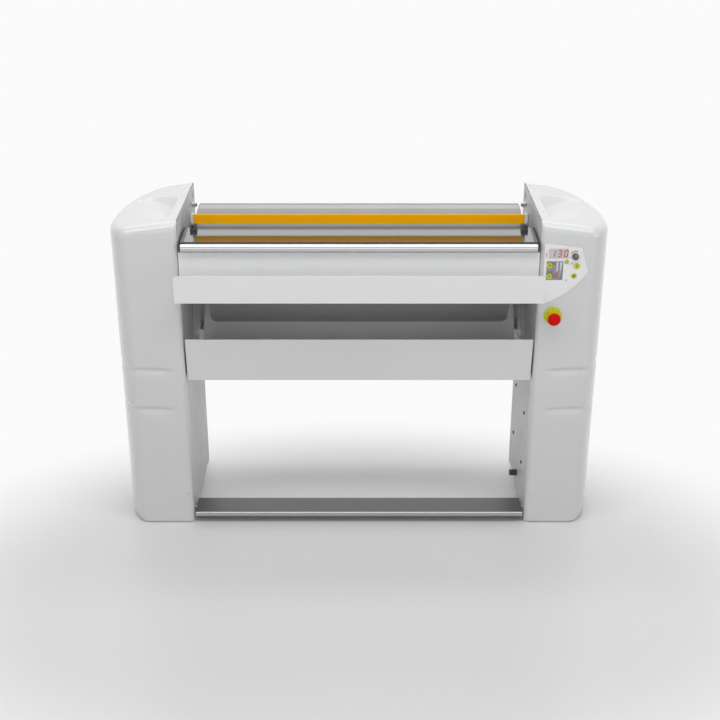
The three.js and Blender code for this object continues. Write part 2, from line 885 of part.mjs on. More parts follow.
// A leaning front sheet with rounded upper corners; its outer face starts at y and z.
function trayFront(edge, y, z, height, lean, corner) {
  const side = [
    new THREE.Vector2(y, z),
    new THREE.Vector2(y + sheet, z),
    new THREE.Vector2(y + sheet - lean, z + height),
    new THREE.Vector2(y - lean, z + height),
  ];
  const face = [
    new THREE.Vector2(-edge, z - 1),
    new THREE.Vector2(edge, z - 1),
    ...arc(edge - corner, z + height - corner, corner, corner, 0, 90, 4),
    ...arc(corner - edge, z + height - corner, corner, corner, 90, 180, 4),
  ];
  const slab = prismX(side, [-edge - 1, edge + 1]);
  return slab.intersect(prismY(face, [y - 2 * lean, y + 2 * lean]));
}

// A sheet at a tray's end, outlined in y and z.
function trayCheek(y, z, rearY, frontHeight, rearHeight, x) {
  const outline = [
    new THREE.Vector2(y, z + sheet / 2),
    new THREE.Vector2(rearY, z + sheet / 2),
    new THREE.Vector2(rearY, z + rearHeight),
    new THREE.Vector2(y, z + frontHeight),
  ];
  return prismX(outline, x);
}

function upperTrayBody() {
  const y = -upperTrayStandOff - sheet;
  const z = upperTrayBottomZ;
  const backY = -2 * gap;
  const rearY = panelY - gap;
  const edge = wallX + upperTrayOverlap;
  const narrow = [-tableHalfWidth, tableHalfWidth];
  const front = trayFront(edge, y, z, upperTrayHeight, upperTrayLean, upperTrayCorner);
  const floor = block([-edge, edge], [y, backY], [z, z + sheet]);
  const tongueLine = [
    new THREE.Vector2(backY - 1, z),
    new THREE.Vector2(rearY, z),
    new THREE.Vector2(rearY, z + trayTongueFlange),
  ];
  const tongue = prismX(bentSheet(tongueLine, sheet), narrow);
  const cheek = trayCheek(
    y + sheet / 2,
    z,
    backY,
    upperTrayCheek,
    upperTrayCheek,
    [edge - sheet, edge],
  );
  return union(front, floor, tongue, cheek, mirrorX(cheek));
}
place('upper_tray', upperTrayBody(), paintedTray);

const lowerTrayRearY = lowerTrayFrontY + lowerTrayDepth;
function lowerTrayBody() {
  const y = lowerTrayFrontY;
  const z = lowerTrayBottomZ;
  const edge = tableHalfWidth;
  const front = trayFront(edge, y, z, lowerTrayHeight, lowerTrayLean, lowerTrayCorner);
  const floor = block([-edge, edge], [y, lowerTrayRearY], [z, z + sheet]);
  const cheek = trayCheek(
    y + sheet / 2,
    z,
    lowerTrayRearY,
    lowerTrayCheek,
    lowerTrayCheek / 2,
    [edge - sheet, edge],
  );
  // a lug at each end rests against the wall
  const middleY = (y + lowerTrayRearY) / 2;
  const lug = block(
    [edge - sheet, between],
    [middleY - hangerLength / 2, middleY + hangerLength / 2],
    [z, z + sheet],
  );
  return union(front, floor, cheek, mirrorX(cheek), lug, mirrorX(lug));
}
place('lower_tray', lowerTrayBody(), paintedTray);

// ---------------------------------------------------------------- chute, deflector, rear cover

const chuteHalfWidth = wallX - chuteInset;
const chuteFootY = lowerTrayRearY + 2 * sheet;
const chuteFootZ = lowerTrayBottomZ + chuteRise;
const chuteHeadY = rearCoverY - gap - sheet;
const chuteHeadZ = chuteFootZ + (chuteHeadY - chuteFootY) * Math.tan(chuteSlope * degree);

function chuteBody() {
  const line = [
    new THREE.Vector2(chuteHeadY, chuteHeadZ + chuteFlange),
    new THREE.Vector2(chuteHeadY, chuteHeadZ),
    new THREE.Vector2(chuteFootY, chuteFootZ),
  ];
  const slide = prismX(bentSheet(line, sheet), [-chuteHalfWidth, chuteHalfWidth]);
  const rail = block(
    [-between, between],
    [chuteHeadY, chuteHeadY + sheet],
    [chuteHeadZ + sheet, chuteHeadZ + chuteFlange],
  );
  const cheekBottomZ = rearBeamZ + beamSide + gap;
  const cheekLine = [
    new THREE.Vector2(cheekFootY, cheekBottomZ),
    new THREE.Vector2(chuteHeadY + sheet, cheekBottomZ),
    new THREE.Vector2(chuteHeadY + sheet, deflectorHeadZ),
    new THREE.Vector2(cheekHeadY, deflectorHeadZ),
  ];
  const cheek = prismX(cheekLine, [between - sheet, between]);
  return union(slide, rail, cheek, mirrorX(cheek));
}
place('linen_chute', chuteBody(), paintedGrey);

// What lies outside the deflector's rounded lower right corner.
function deflectorCornerTool(edge, footY, footZ) {
  const centreX = edge - deflectorCorner;
  const centreZ = footZ + deflectorCorner;
  const outline = [
    ...arc(centreX, centreZ, deflectorCorner, deflectorCorner, 0, -90, 4),
    new THREE.Vector2(centreX, footZ - sheet),
    new THREE.Vector2(edge + sheet, footZ - sheet),
    new THREE.Vector2(edge + sheet, centreZ),
  ];
  return prismY(outline, [footY - deflectorRun, footY + deflectorRun]);
}

function deflectorBody() {
  const edge = halfWidth - deflectorInset;
  const footY = deflectorHeadY + deflectorRun;
  const footZ = deflectorHeadZ - deflectorDrop;
  const line = [
    new THREE.Vector2(deflectorHeadY, deflectorHeadZ + deflectorRail),
    new THREE.Vector2(deflectorHeadY, deflectorHeadZ),
    new THREE.Vector2(footY, footZ),
  ];
  const plate = prismX(bentSheet(line, sheet), [-edge, edge]);
  const rail = block(
    [-between, between],
    [deflectorHeadY, deflectorHeadY + sheet],
    [deflectorHeadZ, deflectorHeadZ + deflectorRail],
  );
  const cornerTool = deflectorCornerTool(edge, footY, footZ);
  return union(cut(plate, cornerTool, mirrorX(cornerTool)), rail);
}
place('deflector', deflectorBody(), paintedGrey);

function rearCoverBody() {
  const topZ = rollerZ - rearCoverBelowRoller;
  const line = [
    new THREE.Vector2(rearCoverY - rearCoverLip, topZ),
    new THREE.Vector2(rearCoverY, topZ),
    new THREE.Vector2(rearCoverY, rearCoverBottomZ),
    new THREE.Vector2(rearCoverY - rearCoverLip, rearCoverBottomZ),
  ];
  return prismX(bentSheet(line, sheet), [-between, between]);
}
place('rear_cover', rearCoverBody(), paintedGrey);

// ---------------------------------------------------------------- roller

const tubeOuter = rollerRadius - paddingThickness - gap;
const tubeInner = tubeOuter - tubeWall;
const tubeHalf = halfWidth - tubeInset;

const tubeBody = cut(
  barX(tubeOuter, [-tubeHalf, tubeHalf], rollerY, rollerZ, wideSides),
  barX(tubeInner, [-halfWidth, halfWidth], rollerY, rollerZ, wideSides),
);
place('roller_tube', tubeBody, steel);
const paddingBody = cut(
  barX(rollerRadius, [-halfWidth, halfWidth], rollerY, rollerZ, wideSides),
  barX(rollerRadius - paddingThickness, [-halfWidth - 1, halfWidth + 1], rollerY, rollerZ, wideSides),
);
place('roller_padding', paddingBody, paddingCloth);

function journalBody(endX) {
  const discOuter = tubeHalf - endDiscInset;
  const discX = [discOuter - endDiscThickness, discOuter];
  const disc = barX(tubeInner - gap, discX, rollerY, rollerZ, wideSides);
  const shaft = barX(journalRadius, [discX[0] - endDiscThickness, endX], rollerY, rollerZ);
  return union(disc, shaft);
}
place('right_journal', journalBody(sprocketEndX + journalReach), steel);
place('left_journal', mirrorX(journalBody(bearingEndX + journalReach)), steel);

function bearingBody() {
  const flangeX = [bearingX, bearingX + bearingFlange];
  const flange = barX(bearingFlangeRadius, flangeX, rollerY, rollerZ, 24);
  const housing = barX(bearingHousingRadius, [bearingX, bearingEndX], rollerY, rollerZ, 24);
  const boreX = [bearingX - 1, bearingEndX + 1];
  const bore = barX(journalRadius + runningClearance, boreX, rollerY, rollerZ);
  return cut(union(flange, housing), bore);
}
placePair('bearing', bearingBody(), steel);

// ---------------------------------------------------------------- drive

function pitchRadius(teeth) {
  return chainPitch / (2 * Math.sin(Math.PI / teeth));
}

// A toothed wheel: four outline points a tooth.
function sprocketBody(teeth, z) {
  const tip = pitchRadius(teeth);
  const root = tip - sprocketToothDepth;
  const step = 360 / teeth;
  const outline = [];
  for (let i = 0; i < teeth; i += 1) {
    const start = i * step;
    outline.push(...arc(rollerY, z, root, root, start, start + step / 4, 1));
    outline.push(...arc(rollerY, z, tip, tip, start + step / 2, start + (step * 3) / 4, 1));
  }
  return prismX(outline, [sprocketX, sprocketEndX]);
}

const journalHoleInWheel = barX(
  journalRadius + gap,
  [sprocketX - 1, sprocketEndX + 1],
  rollerY,
  rollerZ,
);
place('roller_sprocket', cut(sprocketBody(rollerTeeth, rollerZ), journalHoleInWheel), steel);
const gearboxX = sprocketEndX + gearboxStandOff;
const gearboxMiddleX = gearboxX + gearboxLength / 2;
const motorShaftX = [sprocketX + 1, gearboxX + motorShaftDepth];
const motorShaft = barX(motorShaftRadius, motorShaftX, rollerY, motorZ);
place('motor_sprocket', union(sprocketBody(motorTeeth, motorZ), motorShaft), steel);

// The chain lies round both wheels as one loop of two arcs and two straight runs.
function chainLoop(extra) {
  const upper = pitchRadius(rollerTeeth) + extra;
  const lower = pitchRadius(motorTeeth) + extra;
  const lean = Math.asin((upper - lower) / chainCentres) / degree;
  return [
    ...arc(rollerY, rollerZ, upper, upper, -lean, 180 + lean, 20),
    ...arc(rollerY, motorZ, lower, lower, 180 + lean, 360 - lean, 12),
  ];
}

const chainX = [sprocketX - chainOverhang, sprocketEndX + chainOverhang];
const chainBody = cut(
  prismX(chainLoop(chainClearance + chainHeight), chainX),
  prismX(chainLoop(chainClearance), [chainX[0] - 1, chainX[1] + 1]),
);
place('drive_chain', chainBody, steel);

function gearMotorBody() {
  const half = gearboxSide / 2;
  const box = block(
    [gearboxX, gearboxX + gearboxLength],
    [rollerY - half, rollerY + half],
    [gearboxBottomZ, motorZ + half],
  );
  const motorHeights = [gearboxBottomZ - motorLength, gearboxBottomZ + 1];
  const motor = barZ(motorRadius, motorHeights, gearboxMiddleX, rollerY, 24);
  const boreX = [gearboxX - 1, gearboxX + motorShaftDepth + gap];
  const bore = barX(motorShaftRadius + runningClearance, boreX, rollerY, motorZ);
  return cut(union(box, motor), bore);
}
place('gear_motor', gearMotorBody(), steel);

function shelfBody() {
  const topZ = gearboxBottomZ - gap;
  const bottomZ = topZ - shelfThickness;
  const half = gearboxSide / 2 + shelfMargin;
  const y = [rollerY - half, rollerY + half];
  const plate = block([bearingX, gearboxX + gearboxLength], y, [bottomZ, topZ]);
  const flange = block([bearingX, bearingX + shelfThickness], y, [topZ - shelfFlange, topZ]);
  const hole = barZ(motorRadius + gap, [bottomZ - 1, topZ + 1], gearboxMiddleX, rollerY, 24);
  return cut(union(plate, flange), hole);
}
place('motor_shelf', shelfBody(), steel);

// ---------------------------------------------------------------- electrical box and cable gland

function electricalBoxBody() {
  const x = [bearingX, bearingX + boxDepth];
  const y = [boxScrewY - boxMargin, boxScrewY + boxScrewSpanY + boxMargin];
  const z = [boxScrewZ - boxMargin, boxTopZ];
  const shell = block(x, y, z);
  // its back is open towards the wall that it is screwed to
  const inside = block(
    [x[0] - 1, x[1] - boxSheet],
    [y[0] + boxSheet, y[1] - boxSheet],
    [z[0] + boxSheet, z[1] - boxSheet],
  );
  const middleX = (x[0] + x[1]) / 2;
  const cableEntry = barZ(glandRadius, [z[0] - 1, z[0] + boxSheet + 1], middleX, glandY);
  return cut(shell, inside, cableEntry);
}
place('electrical_box', electricalBoxBody(), paintedGrey);

function glandBody() {
  const tipX = wallX - glandReach;
  const nutX = [tipX + glandCap, wallX - gap];
  const stem = barX(glandRadius, [tipX + glandCap / 2, wallX + glandThread], glandY, glandZ);
  const nut = barX(glandRadius + glandNutRim, nutX, glandY, glandZ, 6);
  const cap = barX(glandRadius + glandCapRim, [tipX, nutX[0] + 1], glandY, glandZ);
  const bore = barX(glandBore, [tipX - 1, wallX + glandThread + 1], glandY, glandZ);
  return cut(union(stem, nut, cap), bore);
}
place('cable_gland', glandBody(), blackPlastic);

// ---------------------------------------------------------------- heated chest

// The chest and its arms are drawn pressed against the roller, in a group that hangs on the
// chest's pivot and is turned down to where it rests.
const chestGroup = new THREE.Group();
chestGroup.position.set(0, chestPivot.x, chestPivot.y);
chestGroup.rotation.x = -chestOpenAngle * degree;
machine.add(chestGroup);

function placeOnChest(name, body, skin) {
  const geometry = geometryOf(body);
  geometry.translate(0, -chestPivot.x, -chestPivot.y);
  place(name, solid(geometry), skin, chestGroup);
}

// Part of a ring round the roller's axis, its middle straight down.
function trough(inner, outer, halfAngle, x) {
  const low = -90 - halfAngle;
  const high = -90 + halfAngle;
  const outline = [
    ...arc(rollerY, rollerZ, outer, outer, low, high, chestSegments),
    ...arc(rollerY, rollerZ, inner, inner, high, low, chestSegments),
  ];
  return prismX(outline, x);
}

const chestEndX = halfWidth + chestOverhang;
const chestEndInnerX = chestEndX - chestEndPlate;
function chestBody() {
  const plate = trough(chestRadius, chestOuterRadius, chestHalfAngle, [-chestEndX, chestEndX]);
  const endPlate = trough(
    chestRadius,
    chestCoverOuter + gap,
    laggingHalfAngle,
    [chestEndInnerX, chestEndX],
  );
  return union(plate, endPlate, mirrorX(endPlate));
}
placeOnChest('chest', chestBody(), steel);

// Heaters, lagging and cover lie between the chest's end plates.
const insideEnds = [gap - chestEndInnerX, chestEndInnerX - gap];
function heaterBody(angle) {
  const y = rollerY + heaterCircle * Math.sin(angle * degree);
  const z = rollerZ - heaterCircle * Math.cos(angle * degree);
  return barX(heaterRadius, insideEnds, y, z, 12);
}
placeOnChest('front_heater', heaterBody(-heaterSpacing), steel);
placeOnChest('middle_heater', heaterBody(0), steel);
placeOnChest('rear_heater', heaterBody(heaterSpacing), steel);
placeOnChest(
  'chest_lagging',
  trough(laggingInner, laggingOuter, laggingHalfAngle, insideEnds),
  insulationFibre,
);
placeOnChest(
  'chest_cover',
  trough(chestCoverInner, chestCoverOuter, laggingHalfAngle, insideEnds),
  paintedGrey,
);

const rodTop = new THREE.Vector2(rodY, rodTopZ);
const rodTopPressed = turnedAbout(rodTop, chestPivot, chestOpenAngle);
const pinX = [armOuterX - 1, rodOuterX + pinReach];

function chestArmBody() {
  const bend = new THREE.Vector2(rollerY - armBendReach, rollerZ - armBendDrop);
  const arm = strap([chestPivot, bend, chestStub, rodTopPressed], armWidth, [armX, armOuterX]);
  const stub = barX(chestStubRadius, [chestEndX + gap, armX + 1], chestStub.x, chestStub.y);
  const pin = barX(pinRadius, pinX, rodTopPressed.x, rodTopPressed.y);
  const hole = barX(
    studRadius + runningClearance,
    [armX - 1, armOuterX + 1],
    chestPivot.x,
    chestPivot.y,
  );
  return cut(union(arm, stub, pin), hole);
}
placeOnChest('right_chest_arm', chestArmBody(), steel);
placeOnChest('left_chest_arm', mirrorX(chestArmBody()), steel);

// ---------------------------------------------------------------- foot bar and its linkage

function footBarBody() {
  const rearY = footBarFrontY + footBarDepth;
  const bottomZ = footBarTopZ - footBarHeight;
  const line = [
    new THREE.Vector2(rearY, bottomZ),
    new THREE.Vector2(rearY, footBarTopZ),
    new THREE.Vector2(footBarFrontY, footBarTopZ),
    new THREE.Vector2(footBarFrontY, bottomZ),
  ];
  const channel = prismX(bentSheet(line, sheet), [-tableHalfWidth, tableHalfWidth]);
  const endPlate = block(
    [tableHalfWidth - sheet, tableHalfWidth],
    [footBarFrontY + 1, rearY - 1],
    [bottomZ + 1, footBarTopZ - 1],
  );
  const stubX = [tableHalfWidth - 1, armOuterX - 1];
  const stub = barX(footBarStubRadius, stubX, footBarStubY, footBarStubZ);
  const end = union(endPlate, stub);
  return union(channel, end, mirrorX(end));
}
place('foot_bar', footBarBody(), stainless);

function pedalArmBody() {
  const stub = new THREE.Vector2(footBarStubY, footBarStubZ);
  const pivot = new THREE.Vector2(pedalPivotY, pedalPivotZ);
  const rear = new THREE.Vector2(rodY, pedalPivotZ);
  const arm = strap([stub, pivot, rear], pedalArmWidth, [armX, armOuterX]);
  const pin = barX(pinRadius, pinX, rear.x, rear.y);
  const through = [armX - 1, armOuterX + 1];
  const stubHole = barX(footBarStubRadius + gap, through, stub.x, stub.y);
  const pivotHole = barX(studRadius + runningClearance, through, pivot.x, pivot.y);
  return cut(union(arm, pin), stubHole, pivotHole);
}
placePair('pedal_arm', pedalArmBody(), steel);

// The push rod's upper eye is wider than its pin: that pivot closes the linkage loosely.
function pushRodBody() {
  const x = [rodX, rodOuterX];
  const through = [rodX - 1, rodOuterX + 1];
  const middleX = (rodX + rodOuterX) / 2;
  const lowerHole = pinRadius + runningClearance;
  const upperHole = pinRadius + openPivotClearance;
  const shaft = barZ(rodRadius, [pedalPivotZ, rodTopZ], middleX, rodY, 12);
  const lowerEye = barX(lowerHole + rodEyeWidth, x, rodY, pedalPivotZ);
  const upperEye = barX(upperHole + rodEyeWidth, x, rodY, rodTopZ);
  return cut(
    union(shaft, lowerEye, upperEye),
    barX(lowerHole, through, rodY, pedalPivotZ),
    barX(upperHole, through, rodY, rodTopZ),
  );
}
placePair('push_rod', pushRodBody(), steel);

// ---------------------------------------------------------------- finger guard

const guardBottomZ = tableFrontZ + guardAboveTable;
const guardPivotY = guardY + guardPivotBack;
const guardPivotZ = guardBottomZ - guardPivotDrop;
const guardHeights = [guardBottomZ, guardBottomZ + guardHeight];
const guardFrontY = guardY - guardThickness / 2;
const guardBar = block([-halfWidth, halfWidth], [guardFrontY, guardFrontY + guardThickness], guardHeights);
place('guard_bar', guardBar, guardOrange);

const guardArmX = [halfWidth + gap, halfWidth + gap + guardArmThickness];
function guardArmBody() {
  const foot = new THREE.Vector2(guardPivotY, guardPivotZ);
  const head = new THREE.Vector2(guardY + guardArmWidth / 2, guardBottomZ + guardHeight / 2);
  const link = strap([foot, head], guardArmWidth, guardArmX);
  const face = block(guardArmX, [guardFrontY, guardFrontY + guardArmDepth], guardHeights);
  const pinEnds = [guardArmX[0] - guardPinReach, guardArmX[1] + guardPinReach];
  const pin = barX(guardPinRadius, pinEnds, foot.x, foot.y, 12);
  return union(link, face, pin);
}
placePair('guard_arm', guardArmBody(), paintedTray);

function guardBlockBody() {
  const middleX = (guardArmX[0] + guardArmX[1]) / 2;
  const x = [middleX - guardBlockWidth / 2, middleX + guardBlockWidth / 2];
  const frontY = guardPivotY - guardBlockDepth / 2;
  const rearY = Math.min(guardPivotY + guardBlockDepth / 2, tableRearY);
  const topZ = guardPivotZ + guardBlockTop;
  const outline = [
    new THREE.Vector2(frontY, tableTop(frontY) + gap),
    new THREE.Vector2(rearY, tableTop(rearY) + gap),
    new THREE.Vector2(rearY, topZ),
    new THREE.Vector2(frontY, topZ),
  ];
  const slotX = [guardArmX[0] - gap, guardArmX[1] + gap];
  const slot = block(slotX, [frontY - 1, rearY + 1], [guardPivotZ - guardSlotDepth, topZ + 1]);
  const holeEnds = [guardArmX[0] - guardPinReach - gap, guardArmX[1] + guardPinReach + gap];
  const hole = barX(guardPinRadius + runningClearance, holeEnds, guardPivotY, guardPivotZ, 12);
  return cut(prismX(outline, x), slot, hole);
}
placePair('guard_block', guardBlockBody(), blackPlastic);

// ---------------------------------------------------------------- control plate

const plateBack = -gap;
const plateFace = plateBack - plateThickness;
const plateThrough = [plateFace - 1, plateBack + 1];

const keys = [
  { name: 'plus_key', x: setKeyX, drop: plusKeyDrop, radius: wideKeyRadius, skin: keyYellow },
  { name: 'minus_key', x: setKeyX, drop: minusKeyDrop, radius: wideKeyRadius, skin: keyYellow },
  { name: 'lamp_key', x: lampKeyX, drop: lampKeyDrop, radius: lampKeyRadius, skin: keyGreen },
  { name: 'start_key', x: startKeyX, drop: startKeyDrop, radius: startKeyRadius, skin: keyYellow },
  { name: 'stop_key', x: stopKeyX, drop: stopKeyDrop, radius: wideKeyRadius, skin: keyYellow },
];

function plateBody() {
  const lowerEdge = new THREE.QuadraticBezierCurve(
    plateCorner(plateWidth, plateShoulder),
    plateCorner(plateBulgeX, plateBulgeDrop),
    plateCorner(plateFootX, plateHeight),
  );
  const outline = [
    ...lowerEdge.getPoints(8).reverse(),
    plateCorner(plateTopWidth, plateTopFall),
    plateCorner(0, 0),
  ];
  const holes = keys.map((key) => {
    const centre = plateCorner(key.x, key.drop);
    return barY(key.radius + keyGap, plateThrough, centre.x, centre.y);
  });
  const knob = plateCorner(knobX, knobDrop);
  const shaftHole = barY(knobShaftRadius + runningClearance, plateThrough, knob.x, knob.y);
  return cut(prismY(outline, [plateFace, plateBack]), ...holes, shaftHole);
}
place('control_plate', plateBody(), plateWhite);

const displayCentre = plateCorner(displayX, displayDrop);
const displayBody = block(
  [displayCentre.x - displayWidth / 2, displayCentre.x + displayWidth / 2],
  [plateFace - gap - displayThickness, plateFace - gap],
  [displayCentre.y - displayHeight / 2, displayCentre.y + displayHeight / 2],
);
place('display_window', displayBody, displayDark);

const keyBack = plateBack - keyTravel;
for (const key of keys) {
  const centre = plateCorner(key.x, key.drop);
  const body = barY(key.radius, [keyBack - keyThickness, keyBack], centre.x, centre.y);
  place(key.name, body, key.skin);
}

function knobBody() {
  const centre = plateCorner(knobX, knobDrop);
  const back = plateFace - gap;
  const face = back - knobHeight;
  const grip = barY(knobRadius, [face, back], centre.x, centre.y, 24);
  const shaft = barY(knobShaftRadius, [back - 1, 2 * coverWall], centre.x, centre.y);
  const mark = block(
    [centre.x - knobMarkWidth / 2, centre.x + knobMarkWidth / 2],
    [face - 1, face + 1],
    [centre.y + knobRadius / 3, centre.y + knobRadius - 1],
  );
  return cut(union(grip, shaft), mark);
}
place('speed_knob', knobBody(), knobGrey);

// ---------------------------------------------------------------- emergency stop

const ringFace = -gap - estopRingThickness;
const collarFace = ringFace - estopCollarLength;
const headBack = collarFace - estopTravel - 1;

function estopRingBody() {
  const ring = barY(estopRingRadius, [ringFace, -gap], estop.x, estop.y, 32);
  const collar = barY(estopCollarRadius, [collarFace, ringFace + 1], estop.x, estop.y, 24);
  const bore = barY(estopStemRadius + runningClearance, [collarFace - 1, 1], estop.x, estop.y, 24);
  return cut(union(ring, collar), bore);
}
place('estop_ring', estopRingBody(), signalYellow);

function estopStemBody() {
  const stem = barY(estopStemRadius, [headBack + gap, estopStemInside], estop.x, estop.y, 24);
  const pin = barY(estopPinRadius, [headBack - estopPinLength, headBack + 1], estop.x, estop.y);
  return union(stem, pin);
}
place('estop_stem', estopStemBody(), steel);

// The mushroom head, turned about the button's axis.
function estopHeadBody() {
  const r = estopHeadRadius;
  const t = estopHeadThickness;
  const profile = [
    new THREE.Vector2(0, 0),
    new THREE.Vector2(r * 0.82, 0),
    new THREE.Vector2(r, t * 0.2),
    new THREE.Vector2(r, t * 0.5),
    new THREE.Vector2(r * 0.93, t * 0.75),
    new THREE.Vector2(r * 0.72, t * 0.93),
    new THREE.Vector2(0, t),
  ];
  const geometry = new THREE.LatheGeometry(profile, 32);
  geometry.rotateX(Math.PI);
  geometry.translate(estop.x, headBack, estop.y);
  const boreY = [headBack - estopPinLength - gap, headBack + 1];
  return cut(solid(geometry), barY(estopPinRadius + runningClearance, boreY, estop.x, estop.y));
}
place('estop_head', estopHeadBody(), signalRed);

export default machine;
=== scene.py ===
# Flatwork ironer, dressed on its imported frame. Metres: x along the roller, y from the operator
# to the back, z up from the floor.
import math

import bmesh
import bpy
from mathutils import Matrix, Vector


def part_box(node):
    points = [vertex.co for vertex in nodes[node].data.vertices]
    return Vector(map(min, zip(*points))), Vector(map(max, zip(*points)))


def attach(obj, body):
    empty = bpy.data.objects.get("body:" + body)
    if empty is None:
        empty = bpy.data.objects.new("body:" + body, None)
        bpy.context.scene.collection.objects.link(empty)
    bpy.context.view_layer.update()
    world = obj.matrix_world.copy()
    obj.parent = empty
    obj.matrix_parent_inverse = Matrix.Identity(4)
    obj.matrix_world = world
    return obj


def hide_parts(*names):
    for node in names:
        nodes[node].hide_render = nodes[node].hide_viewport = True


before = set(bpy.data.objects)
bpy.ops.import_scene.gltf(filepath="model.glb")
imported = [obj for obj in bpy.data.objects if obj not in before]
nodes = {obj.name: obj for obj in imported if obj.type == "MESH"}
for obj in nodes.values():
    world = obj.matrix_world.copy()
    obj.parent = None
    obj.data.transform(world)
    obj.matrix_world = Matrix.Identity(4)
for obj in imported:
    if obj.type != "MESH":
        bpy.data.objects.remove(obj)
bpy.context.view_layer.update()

# ---- Camera
# A long lens at head height, standing three and a half metres in front of the feed table and
# looking down on it.
camera_data = bpy.data.cameras.new("camera")
camera_data.sensor_width = 36.0
camera_data.lens = 60.98
camera_data.shift_x = 1 / 720
camera = bpy.data.objects.new("camera", camera_data)
camera.location = (0, -3.6252, 2.1224)
camera.rotation_euler = (math.radians(65.936), 0, 0)
bpy.context.scene.collection.objects.link(camera)
bpy.context.scene.camera = camera

# ---- Side housings
# Each side is one thick moulding of satin off-white plastic, open towards the machine and
# underneath. Its edges are well rounded, a scoop is pressed into the top, and two shallow
# creases run round the outer half of the front.


def material(name, colour, roughness, metallic=0.0, specular=0.5):
    """A new material and its shader; the even values sit on the shader's own sockets."""
    finish = bpy.data.materials.new(name)
    finish.use_nodes = True
    shader = finish.node_tree.nodes["Principled BSDF"]
    shader.inputs["Base Color"].default_value = (*colour, 1)
    shader.inputs["Roughness"].default_value = roughness
    shader.inputs["Metallic"].default_value = metallic
    shader.inputs["Specular IOR Level"].default_value = specular
    return finish, shader


def pattern(finish, scale, stretch=(1, 1, 1), detail=3.0, sort="ShaderNodeTexNoise"):
    """A noise on object coordinates, stretched along an axis where the finish has a grain."""
    tree = finish.node_tree
    place = tree.nodes.new("ShaderNodeTexCoord")
    mapping = tree.nodes.new("ShaderNodeMapping")
    mapping.inputs["Scale"].default_value = stretch
    noise = tree.nodes.new(sort)
    noise.inputs["Scale"].default_value = scale
    if "Detail" in noise.inputs:
        noise.inputs["Detail"].default_value = detail
    tree.links.new(place.outputs["Object"], mapping.inputs["Vector"])
    tree.links.new(mapping.outputs["Vector"], noise.inputs["Vector"])
    return noise


def vary(finish, shader, socket, noise, low, high, start=0.3, end=0.7):
    """Lets a pattern move a colour or a value between two ends."""
    tree = finish.node_tree
    if isinstance(low, tuple):
        ramp = tree.nodes.new("ShaderNodeValToRGB")
        ramp.color_ramp.elements[0].position = start
        ramp.color_ramp.elements[1].position = end
        ramp.color_ramp.elements[0].color = (*low, 1)
        ramp.color_ramp.elements[1].color = (*high, 1)
        tree.links.new(noise.outputs[0], ramp.inputs["Fac"])
        tree.links.new(ramp.outputs["Color"], shader.inputs[socket])
    else:
        spread = tree.nodes.new("ShaderNodeMapRange")
        spread.inputs["From Min"].default_value = start
        spread.inputs["From Max"].default_value = end
        spread.inputs["To Min"].default_value = low
        spread.inputs["To Max"].default_value = high
        tree.links.new(noise.outputs[0], spread.inputs["Value"])
        tree.links.new(spread.outputs["Result"], shader.inputs[socket])


def relief(finish, shader, noise, strength, distance):
    """Lets a pattern raise the surface a little."""
    tree = finish.node_tree
    bump = tree.nodes.new("ShaderNodeBump")
    bump.inputs["Strength"].default_value = strength
    bump.inputs["Distance"].default_value = distance
    tree.links.new(noise.outputs[0], bump.inputs["Height"])
    tree.links.new(bump.outputs["Normal"], shader.inputs["Normal"])


def piece(name, mesh_maker, finish, body, sharp=35):
    """Turns a bmesh into an object that rides on a body, shaded smooth up to an angle."""
    mesh = bpy.data.meshes.new(name)
    mesh_maker.normal_update()
    mesh_maker.to_mesh(mesh)
    mesh_maker.free()
    mesh.materials.append(finish)
    mesh.shade_smooth()
    mesh.set_sharp_from_angle(angle=math.radians(sharp))
    made = bpy.data.objects.new(name, mesh)
    bpy.context.scene.collection.objects.link(made)
    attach(made, body)
    return made


def steady(made):
    """Flat faces keep their own shading beside rounded edges."""
    made.modifiers.new("flat_faces", "WEIGHTED_NORMAL").keep_sharp = True


housing_plastic, shader = material("moulded_housing", (0.676, 0.680, 0.686), 0.24)
shader.inputs["Coat Weight"].default_value = 0.5
shader.inputs["Coat Roughness"].default_value = 0.12
mottle = pattern(housing_plastic, 3.0, detail=2.0)
vary(housing_plastic, shader, "Base Color", mottle, (0.672, 0.676, 0.682), (0.680, 0.684, 0.690))
orange_peel = pattern(housing_plastic, 150.0, detail=0.0)
relief(housing_plastic, shader, orange_peel, 0.012, 0.0004)
scuffs = pattern(housing_plastic, 18.0, detail=6.0)
vary(housing_plastic, shader, "Roughness", scuffs, 0.235, 0.245)

housing_low, housing_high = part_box("right_cover")
wall_x = housing_low.x
housing_outer = housing_high.x
housing_front, housing_rear = housing_low.y, housing_high.y
housing_foot, housing_top = housing_low.z - 0.005, housing_high.z
widest_y = housing_front + 0.150
front_flat_x = wall_x + 0.150
rear_flat_x = wall_x + 0.060
front_corner = 0.016
edge_round = 0.028
crease_heights = (0.5525, 0.4175)
crease_sunk = 0.0042
scoop_inset, scoop_width, scoop_sunk = 0.035, 0.133, 0.0245
top_slope = 0.13


def outline_columns():
    """The outline's points: round the corner at the wall, along the flat front, round the side."""
    corner = [("corner", i / 6) for i in range(6)]
    flat = [("flat", i / 42) for i in range(42)]
    return corner + flat + [("side", i / 20) for i in range(21)]


